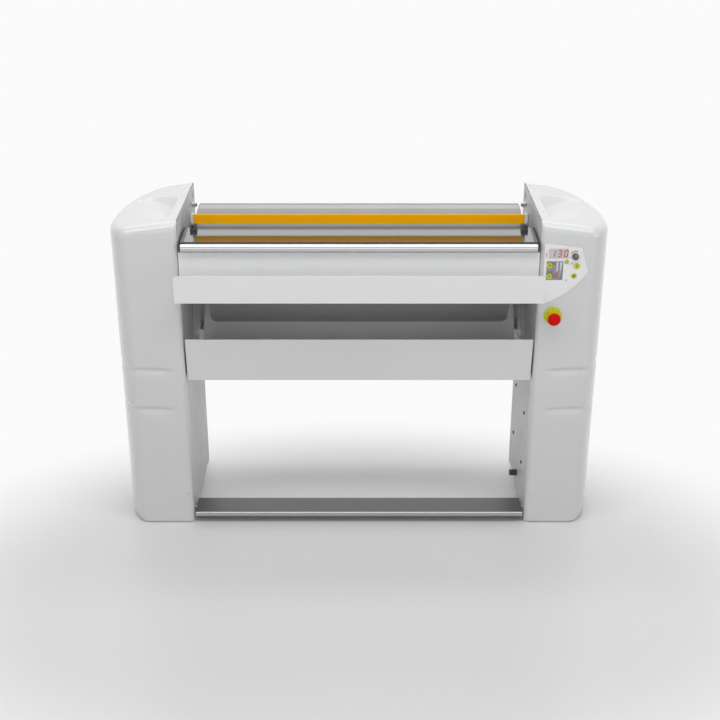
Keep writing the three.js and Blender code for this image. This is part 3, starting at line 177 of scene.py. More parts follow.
def outline(front, side, rear):
    """The plan outline with its front, side and rear pulled in, from the wall and back to it."""
    outer = housing_outer - side
    corner_y = max(front_corner, front + 0.001)
    forward, backward = [], []
    for part, t in outline_columns():
        turn = t * math.pi / 2
        if part == "corner":
            x = wall_x + front_corner * (1 - math.cos(turn))
            y = housing_front + corner_y - (corner_y - front) * math.sin(turn)
        elif part == "flat":
            x = wall_x + front_corner + (front_flat_x - wall_x - front_corner) * t
            y = housing_front + front
        else:
            x = front_flat_x + (outer - front_flat_x) * math.sin(turn)
            y = widest_y - (widest_y - housing_front - front) * math.cos(turn)
        share = max((x - rear_flat_x) / (outer - rear_flat_x), 0)
        reach = housing_rear - rear - widest_y
        forward.append((x, y))
        backward.append((x, widest_y + reach * math.sqrt(max(1 - share * share, 0))))
    return forward + backward[-2::-1]


def edge_pull(depth, radius):
    """How far a rounded edge stands back at a depth below the face it meets."""
    left = max(radius - depth, 0)
    return radius - math.sqrt(radius * radius - left * left)


def top_height(x):
    """The top falls away outwards, and its edge is lowered a little for the seam at the wall."""
    seam_step = 0.0012 if x < wall_x + 0.0030 else 0
    return housing_top - top_slope * (x - wall_x) - seam_step


def soft_step(value):
    value = min(max(value, 0), 1)
    return value * value * (3 - 2 * value)


def crease_depth(x, y, z):
    """Two creases, sharp above and soft below, lost towards the wall and towards the rear."""
    strength = soft_step((x - 0.568) / 0.045) if y < widest_y else 1
    strength *= soft_step((0.16 - y) / 0.12)
    lift = 0.009 * max((x - 0.722) / 0.037, 0) ** 2 - 0.004 * soft_step((0.66 - x) / 0.07)
    depth = 0
    for height in crease_heights:
        above = z - height - lift
        spread = 0.0042 if above > 0 else 0.0160
        depth += crease_sunk * math.exp(-((above / spread) ** 2))
    return depth * strength


def scoop_depth(x, y):
    """The scoop: steep beside the wall, a straight ramp behind, a leaf that fades out in front."""
    t = (x - wall_x - scoop_inset) / scoop_width
    if not 0 <= t <= 1:
        return 0
    rear = housing_front + 0.293 + 0.105 * t - 0.100 * t * t
    valley = housing_front + 0.224 + 0.188 * t - 0.114 * t * t
    front = housing_front + 0.050 + 0.158 * t**3
    deepest = scoop_sunk * (1 - t) ** 0.6
    if y >= valley:
        return max(deepest * (rear - y) / max(rear - valley, 1e-5), 0)
    return deepest * soft_step((y - front) / max(valley - front, 1e-5)) ** 0.8


def housing_levels():
    """Each level's kind and height, and how far its front, side and rear stand back.

    They lie close together where the creases are.
    """
    levels = []
    for i in range(7):
        depth = edge_round * (1 - math.cos(i / 6 * math.pi / 2))
        pull = [edge_pull(depth, radius) for radius in (0.008, edge_round, 0.020)]
        levels.append(("foot", depth, pull))
    heights = [0.05 + 0.025 * i for i in range(14)]
    heights += [0.396 + 0.0034 * i for i in range(56)]
    heights += [0.600 + 0.025 * i for i in range(15)]
    levels += [("body", z, (0, 0, 0)) for z in heights]
    for i in range(16, -1, -1):
        depth = edge_round * (1 - math.cos(i / 16 * math.pi / 2))
        pull = [edge_pull(depth, radius) for radius in (edge_round, edge_round, 0.006)]
        levels.append(("top", depth, pull))
    return levels


def housing_point(place, kind, height):
    x, y = place
    if kind == "foot":
        return Vector((x, y, housing_foot + height))
    if kind == "top":
        return Vector((x, y, top_height(x) - height))
    inwards = Vector((0, 1, 0))
    if x > front_flat_x or y > widest_y:
        inwards = Vector((0.60 - x, 0.4 * (widest_y - y), 0)).normalized()
        inwards = inwards.lerp(Vector((0, 1, 0)), soft_step((0.72 - x) / 0.03)).normalized()
    return Vector((x, y, height)) + inwards * crease_depth(x, y, height)


def chain(edges):
    """The points of an open line of edges in order, from its front end at the wall."""
    near = {}
    for edge in edges:
        for vert in edge.verts:
            near.setdefault(vert, []).append(edge.other_vert(vert))
    ends = [vert for vert, others in near.items() if len(others) == 1]
    row = [min(ends, key=lambda vert: (round(vert.co.x, 5), vert.co.y))]
    while len(row) < len(near):
        row.append([vert for vert in near[row[-1]] if len(row) < 2 or vert is not row[-2]][0])
    return row


def drawn(bm, edges, points):
    """Extrudes a line of edges by one step, on to new points."""
    grown = bmesh.ops.extrude_edge_only(bm, edges=edges)["geom"]
    edges = [part for part in grown if isinstance(part, bmesh.types.BMEdge)]
    for vert, point in zip(chain(edges), points):
        vert.co = point
    return edges


def line(bm, points):
    verts = [bm.verts.new(point) for point in points]
    return [bm.edges.new(pair) for pair in zip(verts, verts[1:])]


def housing_mesh():
    """Draws the outline up from the lip under the foot, then closes the top and scoops it."""
    bm = bmesh.new()
    lip = outline(0.030, 0.030, 0.030)
    edges = line(bm, [(x, y, housing_foot) for x, y in lip])
    for kind, height, pull in housing_levels():
        edges = drawn(bm, edges, [housing_point(p, kind, height) for p in outline(*pull)])
    rim = [vert.co.copy() for vert in chain(edges)]
    count = len(outline_columns())
    rows = 110

    def across(k):
        front, rear = rim[k], rim[len(rim) - 1 - k]
        return [front.lerp(rear, j / rows) for j in range(rows + 1)]

    body_faces = set(bm.faces)
    edges = line(bm, across(0))
    for k in range(1, count - 1):
        edges = drawn(bm, edges, across(k))
    tip = bm.verts.new(rim[count - 1])
    for edge in edges:
        bm.faces.new((*edge.verts, tip))
    top = list({vert for face in bm.faces if face not in body_faces for vert in face.verts})
    for vert in top:
        vert.co.z = -scoop_depth(vert.co.x, vert.co.y)
    inside = [vert for vert in top if not vert.is_boundary]
    for _ in range(2):
        bmesh.ops.smooth_vert(bm, verts=inside, factor=0.4, use_axis_z=True)
    for vert in top:
        vert.co.z += top_height(vert.co.x)
    bmesh.ops.remove_doubles(bm, verts=bm.verts, dist=1e-5)
    bmesh.ops.recalc_face_normals(bm, faces=bm.faces)
    highest = max(bm.faces, key=lambda face: face.calc_center_median().z)
    if highest.normal.z < 0:
        bmesh.ops.reverse_faces(bm, faces=bm.faces)
    return bm


def other_side(bm):
    """The same mesh on the left, its faces turned back outwards."""
    bmesh.ops.scale(bm, vec=(-1, 1, 1), verts=bm.verts)
    bmesh.ops.reverse_faces(bm, faces=bm.faces)
    return bm


for side in ("right", "left"):
    bm = housing_mesh()
    if side == "left":
        bm = other_side(bm)
    housing = piece(f"{side}_housing", bm, housing_plastic, "machine", 50)
    wall = housing.modifiers.new("wall", "SOLIDIFY")
    wall.thickness = 0.004
    wall.offset = -1
    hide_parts(f"{side}_cover")


# ---- Housing screws and seams
# Pan-head screws hold each moulding to its side frame from the top and the front, and a thin
# grey strip along the joint between them is painted shade for the gap there.


def patchy(name, colour, roughness, gloss, scale, detail=3.0, **more):
    """A material whose roughness wanders between two values."""
    finish, shader = material(name, colour, roughness, **more)
    vary(finish, shader, "Roughness", pattern(finish, scale, detail=detail), *gloss)
    return finish, shader


def rod(bm, radius, length, segments, tip=None):
    """Adds a closed rod or cone to a mesh, upright round the origin."""
    return bmesh.ops.create_cone(
        bm, cap_ends=True, segments=segments, radius1=radius, radius2=tip or radius, depth=length
    )["verts"]


screw_steel, _ = patchy(
    "zinc_screw", (0.62, 0.63, 0.65), 0.3, (0.22, 0.42), 300.0, 2.0, metallic=1.0
)
# Near-black for painted shade: the table's step and end strips, and the sheets in the wall slots.
shade_black, shader = material("painted_shade_black", (0.035, 0.036, 0.038), 0.7)
relief(shade_black, shader, pattern(shade_black, 500.0), 0.2, 0.0003)
# Grey for the joint strip: painted shade.
joint_shade_grey, shader = material("seam_painted_shade", (0.17, 0.17, 0.175), 0.6)
relief(joint_shade_grey, shader, pattern(joint_shade_grey, 500.0), 0.1, 0.0003)


def pan_head(place, outwards, radius=0.0045, height=0.0016):
    """A screw head on a face: a low dome with a socket sunk in its middle."""
    bm = bmesh.new()
    rod(bm, radius, height, 24, radius * 0.8)
    bmesh.ops.translate(bm, vec=(0, 0, height / 2), verts=bm.verts)
    cap = max(bm.faces, key=lambda face: face.calc_center_median().z)
    bmesh.ops.inset_region(bm, faces=[cap], thickness=radius * 0.25)
    walls = bmesh.ops.extrude_discrete_faces(bm, faces=[cap])["faces"]
    bmesh.ops.translate(bm, vec=(0, 0, -height * 0.9), verts=walls[0].verts)
    turn = Vector((0, 0, 1)).rotation_difference(Vector(outwards)).to_matrix().to_4x4()
    bmesh.ops.transform(bm, matrix=Matrix.Translation(place) @ turn, verts=bm.verts)
    return bm


screw_x = wall_x + 0.0165
seam = [(-0.1668, 0.990), (-0.1668, 1.0200), (-0.1645, 1.0245), (-0.1600, 1.0266),
        (-0.1535, 1.0275), (0.2475, 1.0275)]
for side, sign in (("right", 1), ("left", -1)):
    for number, y in enumerate((-0.080, 0.172)):
        head = pan_head((sign * screw_x, y, top_height(screw_x)), (sign * top_slope, 0, 1))
        piece(f"{side}_top_screw_{number + 1}", head, screw_steel, "machine")
    for number, z in enumerate((0.110, 0.762) if side == "left" else (0.110,)):
        head = pan_head((sign * screw_x, housing_front + 0.0002, z), (0, -1, 0))
        piece(f"{side}_front_screw_{number + 1}", head, screw_steel, "machine")
    bm = bmesh.new()
    edges = line(bm, [(wall_x - 0.0006, y, z) for y, z in seam])
    drawn(bm, edges, [(wall_x + 0.0024, y, z) for y, z in seam])
    if side == "left":
        other_side(bm)
    strip = piece(f"{side}_seam", bm, joint_shade_grey, "machine")
    strip.modifiers.new("body", "SOLIDIFY").thickness = 0.0004

# ---- Side frames
# Folded sheet-steel walls with a light grey paint, which carry everything between them. Screws
# for the electrical box come through the right one, a small bracket stands near each top, and
# thin dark sheets in the slots there are painted shade.


def dress(finish, *names):
    """Gives a finish to CAD pieces whose shape is already right."""
    for name in names:
        for place in nodes[name].material_slots:
            place.material = finish


def sheet_paint(name, colour, roughness, gloss, patches=14.0, clouds=None, detail=5.0):
    """Powder coat on sheet: a fine grain, patches of gloss, and mostly faint clouds of tone."""
    finish, shader = patchy(name, colour, roughness, gloss, patches, detail)
    if clouds:
        darker, lighter = (tuple(part + shift for part in colour) for shift in (-0.01, 0.01))
        vary(finish, shader, "Base Color", pattern(finish, clouds), darker, lighter)
    relief(finish, shader, pattern(finish, 300.0, detail=1.0), 0.03, 0.0003)
    return finish


def block(bm, size, centre):
    """Adds a plain box to a mesh, by its size and the place of its middle."""
    verts = bmesh.ops.create_cube(bm, size=1)["verts"]
    bmesh.ops.scale(bm, vec=size, verts=verts)
    bmesh.ops.translate(bm, vec=centre, verts=verts)


def rounded(bm, edges, offset, segments):
    """Rounds the edges of a mesh."""
    bmesh.ops.bevel(
        bm, geom=edges, offset=offset, segments=segments, profile=0.5, affect="EDGES", material=-1
    )


frame_paint = sheet_paint("frame_paint", (0.56, 0.565, 0.57), 0.42, (0.36, 0.5), clouds=2.5)
dress(frame_paint, "left_side_frame", "right_side_frame")
tray_paint = sheet_paint("tray_paint", (0.87, 0.875, 0.88), 0.4, (0.34, 0.48), 12.0, 2.0)
bolt_black, _ = patchy(
    "blackened_bolt", (0.06, 0.06, 0.065), 0.45, (0.35, 0.55), 250.0, metallic=0.6
)
box_screws = ((-0.056, 0.157), (-0.056, 0.339), (0.159, 0.157), (0.159, 0.339))
for number, (y, z) in enumerate(box_screws):
    head = pan_head((wall_x, y, z), (-1, 0, 0), radius=0.0062, height=0.0030)
    piece(f"box_screw_{number + 1}", head, bolt_black, "machine")
bracket_y, bracket_bolt_z, bracket_plate_z = 0.180, 0.972, 0.9788
slots = ((0.198, 0.990, 1.010), (0.106, 0.935, 0.963))
slot_radius = 0.0022
for side, sign in (("right", 1), ("left", -1)):
    place = (sign * (wall_x - 0.013), bracket_y, bracket_bolt_z)
    head = pan_head(place, (-sign, 0, 0), radius=0.0048, height=0.003)
    piece(f"{side}_bracket_bolt", head, bolt_black, "machine")
    bm = bmesh.new()
    block(bm, (0.0175, 0.016, 0.0022), (sign * (wall_x - 0.0087), bracket_y, bracket_plate_z))
    rounded(bm, bm.edges[:], 0.0006, 2)
    piece(f"{side}_bracket_plate", bm, tray_paint, "machine")
    # Thin near-black sheets in the slots near each top: painted shade for the open slots.
    for number, (y, low, high) in enumerate(slots):
        bm = bmesh.new()
        slot_ends = [(y + slot_radius * math.cos(t), end + slot_radius * math.sin(t))
                     for end, turns in ((high, range(0, 181, 30)), (low, range(180, 361, 30)))
                     for t in (math.radians(a) for a in turns)]
        bm.faces.new([bm.verts.new((sign * (wall_x - 0.0003), y, z)) for y, z in slot_ends])
        slot_shade_sheet = piece(f"{side}_slot_painted_shade_{number + 1}", bm, shade_black, "machine")
        slot_shade_sheet.modifiers.new("body", "SOLIDIFY").thickness = 0.0004

# ---- Feet and beams
# Bright zinc-plated levelling feet under the frames, and two square tubes that join the frames;
# the front one has two posts under the feed table.
plated_steel, shader = patchy(
    "plated_steel", (0.50, 0.51, 0.53), 0.34, (0.26, 0.46), 90.0, 5.0, metallic=1.0
)
spangle = pattern(plated_steel, 45.0, sort="ShaderNodeTexVoronoi")
vary(plated_steel, shader, "Base Color", spangle, (0.46, 0.47, 0.49), (0.56, 0.57, 0.59), 0, 1)
relief(plated_steel, shader, pattern(plated_steel, 220.0), 0.05, 0.0004)
dress(plated_steel, "left_front_foot", "right_front_foot", "left_rear_foot", "right_rear_foot")
dress(plated_steel, "front_beam", "rear_beam")

# ---- Feed table
# Polished stainless sheet with a rounded nosing a step below it in front. The polish runs
# along the table. The sheet's steel is dimmed as a painted dark reflection and the nosing is a
# lighter copy as a painted highlight; a near-black strip in the step and near-black strips at its
# ends are painted shade for the gaps there.
# The table's steel is dimmed: a painted dark reflection.
table_stainless_painted_reflection, shader = material("table_stainless_painted_reflection", (0.38, 0.38, 0.385), 0.14, metallic=1.0)
polish = pattern(table_stainless_painted_reflection, 60.0, stretch=(0.6, 22, 22), detail=5.0)
vary(table_stainless_painted_reflection, shader, "Roughness", polish, 0.12, 0.16, 0.35, 0.65)
vary(table_stainless_painted_reflection, shader, "Base Color", polish, (0.37, 0.37, 0.375), (0.39, 0.39, 0.395))
relief(table_stainless_painted_reflection, shader, polish, 0.01, 0.0002)
# A lighter copy of the same steel, on the nosing and the foot bar's edge: a painted highlight.
steel_painted_highlight, _ = patchy(
    "steel_painted_highlight", (0.48, 0.48, 0.49), 0.28, (0.20, 0.22), 12.0, 1.0, metallic=1.0
)


def bend(centre_y, centre_z, radius, start, end, steps=10):
    """The points of a bend in a folded sheet, angles in degrees."""
    turns = [math.radians(start + (end - start) * i / steps) for i in range(steps + 1)]
    return [(centre_y + radius * math.cos(t), centre_z + radius * math.sin(t)) for t in turns]


def folded_sheet(name, profile, ends, thickness, outwards, finish, body):
    """A sheet of even thickness folded along x, its outer face on a profile, front end first."""
    bm = bmesh.new()
    edges = line(bm, [(ends[0], y, z) for y, z in profile])
    drawn(bm, edges, [(ends[1], y, z) for y, z in profile])
    bm.normal_update()
    widest = max(bm.faces, key=lambda face: face.calc_area())
    if widest.normal.dot(Vector(outwards)) < 0:
        bmesh.ops.reverse_faces(bm, faces=bm.faces)
    sheet = piece(name, bm, finish, body, 30)
    wall = sheet.modifiers.new("thickness", "SOLIDIFY")
    wall.thickness = thickness
    wall.offset = -1
    steady(sheet)
    return sheet


table_low, table_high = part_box("feed_table")
nose_radius = 0.007
table_front_z = 0.965
table_rise = 0.076
nose_y = table_low.y + nose_radius
table_rear_z = table_front_z + table_rise * (table_high.y - nose_y)
nose_top = table_front_z + 0.0004
nose_profile = [(nose_y + 0.012, table_low.z)]
nose_profile += bend(nose_y, table_low.z + nose_radius, nose_radius, 270, 180)
lip_radius, lip_step = 0.011, 0.0052
lip_y, lip_top = table_low.y + lip_radius, nose_top - lip_step
nose_profile += bend(lip_y, lip_top - lip_radius, lip_radius, 180, 90)
nose_profile += [(lip_y + 0.001, lip_top), (lip_y + 0.0015, lip_top - 0.002)]
groove_y = lip_y + 0.0035
sheet_profile = [(groove_y, nose_top - 0.003), (groove_y + 0.0003, nose_top)]
sheet_profile.append((table_high.y, table_rear_z))
table_half = table_high.x - 0.0045
feed_table = folded_sheet(
    "table_sheet", sheet_profile, (-table_half, table_half), 0.0015, (0, 0, 1), table_stainless_painted_reflection,
    "machine",
)
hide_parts("feed_table")
folded_sheet(
    "table_nose", nose_profile[::-1], (-table_half, table_half), 0.0015, (0, -1, 0), steel_painted_highlight,
    "machine",
)
# A near-black strip along the step: painted shade.
bm = bmesh.new()
block(bm, (2 * table_half, 0.0035, 0.0060), (0, lip_y + 0.00225, nose_top - 0.0032))
piece("table_step_painted_shade", bm, shade_black, "machine")
# Near-black strips at the table's ends: painted shade for the gaps beside the housings.
for side, ends in (("left", (-table_high.x, -table_half)), ("right", (table_half, table_high.x))):
    end_shade_profile = [
        (y, z + 0.0004) for y, z in nose_profile + sheet_profile[1:] if z > table_low.z + 0.001
    ]
    folded_sheet(
        f"{side}_table_end_painted_shade", end_shade_profile, ends, 0.004, (0, 0, 1), shade_black, "machine",
    )

# ---- Front panel and trays
# Pale grey painted sheet: a folded panel under the table, the upper tray with rounded corners
# for waiting linen, and the lower tray that catches it when it is ironed.
dress(tray_paint, "front_panel", "upper_tray")
# The lower tray takes a darker copy of the tray paint: painted shade.
lower_tray_shade_paint = sheet_paint(
    "tray_paint_painted_shade", (0.72, 0.725, 0.73), 0.42, (0.38, 0.48), 12.0, 2.0
)
dress(lower_tray_shade_paint, "lower_tray")

# ---- Chute, deflector and rear cover
# Grey painted sheets behind the trays: the ironed linen drops behind the deflector, slides down
# the chute, and the rear cover closes the machine behind the roller. The deflector's darker grey
# is painted shade, and the chute's pale paint is painted light.
# Darker grey for the deflector: painted shade.
deflector_shade_paint = sheet_paint("deflector_shade_paint", (0.46, 0.465, 0.47), 0.42, (0.36, 0.5))
dress(deflector_shade_paint, "deflector")
dress(frame_paint, "rear_cover", "chest_cover", "electrical_box")
# A pale paint for the chute: painted light.
chute_light_paint = sheet_paint("chute_light_paint", (0.88, 0.88, 0.885), 0.42, (0.36, 0.5), clouds=2.5)
dress(chute_light_paint, "linen_chute")

# ---- Roller
# A steel tube under a thick sleeve of needled felt, wrapped tight in grey ironing cotton. The
# cotton's grey is deepened as painted shade, and a paler band along its top, with a small lap
# step at its edge, is painted light. Journals in flange bearings carry it.


def cotton(name, colour, dark, light):
    """Plain cotton: a fine raised warp along the roller, and a slightly uneven grey."""
    finish, shader = material(name, colour, 0.92, specular=0.15)
    warp = pattern(finish, 900.0, stretch=(1, 0.12, 0.12), detail=1.0)
    relief(finish, shader, warp, 0.35, 0.0005)
    vary(finish, shader, "Base Color", pattern(finish, 9.0, detail=6.0), dark, light)
    return finish, shader


# The cotton's grey is deepened as painted shade; its paler copy is a painted lit band.
shaded_cotton, shader = cotton(
    "ironing_cotton_painted_shade", (0.35, 0.35, 0.345), (0.34, 0.34, 0.335), (0.365, 0.365, 0.36)
)
shader.inputs["Sheen Weight"].default_value = 0.25
lit_band_cotton, _ = cotton("cotton_painted_light_band", (0.50, 0.50, 0.495), (0.485, 0.485, 0.48), (0.52, 0.52, 0.515))

roller_low, roller_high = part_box("roller_padding")
roller_y = (roller_low.y + roller_high.y) / 2
roller_z = (roller_low.z + roller_high.z) / 2
roller_radius = (roller_high.z - roller_low.z) / 2
edge_soft, lit_band_turn = 0.006, 11.5
inner_radius = roller_radius - 0.0098
half = roller_high.x
bm = bmesh.new()
sleeve = [(half - 0.001, inner_radius)]
sleeve += [
    (half - edge_soft * (1 - math.cos(t)), roller_radius - edge_soft * (1 - math.sin(t)))
    for t in (math.radians(a) for a in range(0, 91, 15))
]
sleeve += [(half * (1 - 2 * k / 60), roller_radius) for k in range(1, 60)]
sleeve += [(-x, r) for x, r in sleeve[:8][::-1]]
edges = line(bm, [(x, roller_y, roller_z + r) for x, r in sleeve + [sleeve[0]]])
bmesh.ops.spin(
    bm, geom=bm.verts[:] + bm.edges[:], cent=(0, roller_y, roller_z), axis=(1, 0, 0),
    dvec=(0, 0, 0), angle=math.tau, steps=144, use_merge=True,
)
bmesh.ops.remove_doubles(bm, verts=bm.verts, dist=1e-5)
bmesh.ops.recalc_face_normals(bm, faces=bm.faces)
for vert in bm.verts:
    arm = Vector((0, vert.co.y - roller_y, vert.co.z - roller_z))
    if arm.length > roller_radius - 0.002 and abs(vert.co.x) < half - edge_soft:
        turn = math.degrees(math.atan2(-arm.y, arm.z))
        lap = 0.0006 if -1 < turn < lit_band_turn + 0.5 else 0
        ripple = 0.00015 * math.sin(47 * vert.co.x + 1.7 * math.sin(math.radians(3 * turn)))
        vert.co -= arm.normalized() * (0.0008 - lap + ripple)
for face in bm.faces:
    arm = face.calc_center_median() - Vector((0, roller_y, roller_z))
    turn = math.degrees(math.atan2(-arm.y, arm.z))
    # Faces on the band along the top take the paler cotton: painted light.
    if 0 < turn < lit_band_turn and arm.yz.length > roller_radius - 0.003:
        face.material_index = 1
roller_sleeve = piece("roller_sleeve", bm, shaded_cotton, "roller", 40)
roller_sleeve.data.materials.append(lit_band_cotton)
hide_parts("roller_padding")
dress(plated_steel, "roller_tube", "left_journal", "right_journal")

cast_paint, shader = patchy("cast_paint", (0.16, 0.165, 0.17), 0.5, (0.42, 0.6), 40.0)
relief(cast_paint, shader, pattern(cast_paint, 160.0, detail=4.0), 0.25, 0.0006)
dress(cast_paint, "left_bearing", "right_bearing", "gear_motor")

# ---- Drive
# A gear motor on its shelf turns the roller by a chain from a small sprocket to a large one.
# The chain is steel, side plates and rollers by turns.
dress(plated_steel, "roller_sprocket", "motor_sprocket", "motor_shelf")
oiled_steel, _ = patchy(
    "oiled_chain", (0.22, 0.215, 0.21), 0.32, (0.25, 0.5), 200.0, 4.0, metallic=1.0
)
links, plate_radius = 56, 0.0040
chain_low, chain_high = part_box("drive_chain")
upper_z, lower_z = roller_z, sum(p.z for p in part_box("motor_sprocket")) / 2
upper_r = chain_high.z - upper_z - plate_radius - 0.0006
lower_r = lower_z - chain_low.z - plate_radius - 0.0006


def chain_path(share):
    """A point on the chain's loop, by the share of its length."""
    span = upper_z - lower_z
    lean = math.asin((upper_r - lower_r) / span)
    straight = math.sqrt(span**2 - (upper_r - lower_r) ** 2)
    over, under = upper_r * (math.pi + 2 * lean), lower_r * (math.pi - 2 * lean)
    way = share % 1 * (over + under + 2 * straight)

    def at(radius, height, turn):
        return Vector((0, roller_y + radius * math.cos(turn), height + radius * math.sin(turn)))

    if way < over:
        return at(upper_r, upper_z, way / upper_r - lean)
    way -= over
    off = math.pi + lean
    if way < straight:
        return at(upper_r, upper_z, off).lerp(at(lower_r, lower_z, off), way / straight)
    way -= straight
    if way < under:
        return at(lower_r, lower_z, off + way / lower_r)
    way -= under
    return at(lower_r, lower_z, -lean).lerp(at(upper_r, upper_z, -lean), way / straight)


def lying(centre):
    """Turns what is made upright at the origin to lie along the roller, at its place."""
    return Matrix.Translation(centre) @ Matrix.Rotation(math.pi / 2, 4, "Y")


bm = bmesh.new()
chain_x = (chain_low.x + chain_high.x) / 2
for number in range(links):
    here, onward = chain_path(number / links), chain_path((number + 1) / links)
    middle = (here + onward) / 2
    along = onward - here
    tilt = Matrix.Rotation(math.atan2(along.z, along.y), 4, "X")
    offset = 0.0052 if number % 2 else 0.0036
    for sign in (-1, 1):
        plate = rod(bm, plate_radius, 0.0012, 16)
        bmesh.ops.transform(bm, matrix=lying((0, 0, 0)), verts=plate)
        for vert in plate:
            vert.co.y += math.copysign(along.length / 2, vert.co.y) if abs(vert.co.y) > 1e-6 else 0
        place = Matrix.Translation(middle + Vector((chain_x + sign * offset, 0, 0))) @ tilt
        bmesh.ops.transform(bm, matrix=place, verts=plate)
    pin = rod(bm, 0.0022, 0.0117, 10)
    bmesh.ops.transform(bm, matrix=lying(here + Vector((chain_x, 0, 0))), verts=pin)
roller_chain = piece("roller_chain", bm, oiled_steel, "machine", 30)
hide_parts("drive_chain")

# ---- Cable gland
# A black nylon gland low on the right wall: a hexagon, a domed ribbed cap, and an empty bore.
black_nylon, shader = material("black_nylon", (0.055, 0.056, 0.06), 0.42)
relief(black_nylon, shader, pattern(black_nylon, 500.0), 0.12, 0.0003)
dress(black_nylon, "cable_gland", "left_guard_block", "right_guard_block")

# ---- Heated chest
# A concave aluminium casting hangs on two arms under the roller, polished inside, with rod
# heaters against its back, a mat of mineral fibre over them and a sheet cover.
chest_aluminium, shader = patchy(
    "chest_aluminium", (0.60, 0.60, 0.61), 0.3, (0.22, 0.42), 30.0, 6.0, metallic=1.0
)
relief(chest_aluminium, shader, pattern(chest_aluminium, 180.0), 0.06, 0.0004)
dress(chest_aluminium, "chest")
dress(plated_steel, "front_heater", "middle_heater", "rear_heater")
dress(cast_paint, "left_chest_arm", "right_chest_arm", "left_push_rod", "right_push_rod")
dress(cast_paint, "left_pedal_arm", "right_pedal_arm")
dress(plated_steel, "estop_stem")

mineral_fibre, shader = material("mineral_fibre", (0.62, 0.57, 0.44), 0.95, specular=0.1)
relief(mineral_fibre, shader, pattern(mineral_fibre, 240.0, stretch=(0.25, 1, 1)), 0.6, 0.0012)
vary(mineral_fibre, shader, "Base Color", pattern(mineral_fibre, 60.0, detail=6.0),
     (0.54, 0.49, 0.37), (0.70, 0.65, 0.52))
bm = bmesh.new()
mat_inner, mat_outer, mat_steps = 0.1547, 0.1624, 80
mat_turns = range(-61, 62, 2)
mat_section = [(mat_inner, t) for t in mat_turns] + [(mat_outer, t) for t in mat_turns[::-1]]
mat_points = [
    (roller_y + r * math.sin(math.radians(t)), roller_z - r * math.cos(math.radians(t)))
    for r, t in mat_section
]
mat_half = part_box("chest_lagging")[1].x
edges = line(bm, [(-mat_half, y, z) for y, z in mat_points])
edges.append(bm.edges.new((edges[-1].verts[1], edges[0].verts[0])))
bm.faces.new(bm.verts[:])
for _ in range(mat_steps):
    grown = bmesh.ops.extrude_edge_only(bm, edges=edges)["geom"]
    edges = [part for part in grown if isinstance(part, bmesh.types.BMEdge)]
    fresh = [part for part in grown if isinstance(part, bmesh.types.BMVert)]
    bmesh.ops.translate(bm, vec=(2 * mat_half / mat_steps, 0, 0), verts=fresh)
bmesh.ops.edgeloop_fill(bm, edges=edges)
for vert in bm.verts:
    arm = Vector((0, vert.co.y - roller_y, vert.co.z - roller_z))
    swell = 0.00045 * math.sin(31 * vert.co.x) * math.sin(9 * math.atan2(arm.y, -arm.z) + 1)
    if arm.length > 0.158:
        vert.co += arm.normalized() * (swell - 0.0005)
bmesh.ops.recalc_face_normals(bm, faces=bm.faces)
chest_pivot, chest_drop = Vector((0, -0.143, roller_z)), math.radians(-2.5)
lowered = (
    Matrix.Translation(chest_pivot) @ Matrix.Rotation(chest_drop, 4, "X")
    @ Matrix.Translation(-chest_pivot)
)
bmesh.ops.transform(bm, matrix=lowered, verts=bm.verts)
lagging = piece("lagging_mat", bm, mineral_fibre, "chest", 60)
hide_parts("chest_lagging")

# ---- Foot bar
# A shallow channel of brushed steel close to the floor, pushed down by the foot. Its steel is
# painted dark for the dark reflection on its top, a lighter skin over its front edge is a painted
# highlight, and its ends are plated shut.
# Dark steel for the channel: a painted dark reflection.
bar_steel_painted_reflection, shader = material("bar_steel_painted_reflection", (0.16, 0.16, 0.162), 0.3, metallic=1.0)
brushing = pattern(bar_steel_painted_reflection, 60.0, stretch=(0.6, 22, 22), detail=5.0)
vary(bar_steel_painted_reflection, shader, "Roughness", brushing, 0.3, 0.42, 0.35, 0.65)
vary(bar_steel_painted_reflection, shader, "Base Color", brushing, (0.15, 0.15, 0.152), (0.17, 0.17, 0.172))
relief(bar_steel_painted_reflection, shader, brushing, 0.03, 0.0002)
bar_low, bar_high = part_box("foot_bar")
bar_half = table_high.x
fold = 0.0025
bar_profile = [(bar_low.y, bar_low.z)]
bar_profile += bend(bar_low.y + fold, bar_high.z - fold, fold, 180, 90, 6)
bar_profile += bend(bar_high.y - fold, bar_high.z - fold, fold, 90, 0, 6)
bar_profile.append((bar_high.y, bar_low.z))
foot_bar = folded_sheet(
    "foot_channel", bar_profile, (-bar_half, bar_half), 0.002, (0, 0, 1), bar_steel_painted_reflection, "pedal",
)
# A thin skin of the lighter steel over the front bend: a painted highlight.
highlight_profile = [(bar_low.y - 0.0002, bar_low.z + 0.0004)]
highlight_bend = bend(bar_low.y + fold, bar_high.z - fold, fold + 0.0002, 180, 80, 6)
highlight_profile += [(y, z + 0.0003) for y, z in highlight_bend]
folded_sheet(
    "foot_bar_painted_highlight", highlight_profile, (-bar_half, bar_half), 0.0004, (0, 0, 1), steel_painted_highlight,
    "pedal",
)
bar_middle = ((bar_high.y + bar_low.y) / 2, (bar_high.z + bar_low.z) / 2)
stub_x, stub_y, stub_z = 0.54675, -0.133, 0.031
bm = bmesh.new()
for sign in (-1, 1):
    size = (0.002, bar_high.y - bar_low.y - 0.002, 0.012)
    block(bm, size, (sign * (bar_half - 0.001), *bar_middle))
    stub = rod(bm, 0.006, 0.0245, 32)
    bmesh.ops.transform(bm, matrix=lying((sign * stub_x, stub_y, stub_z)), verts=stub)
piece("foot_bar_ends", bm, plated_steel, "pedal", 30)
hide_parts("foot_bar")

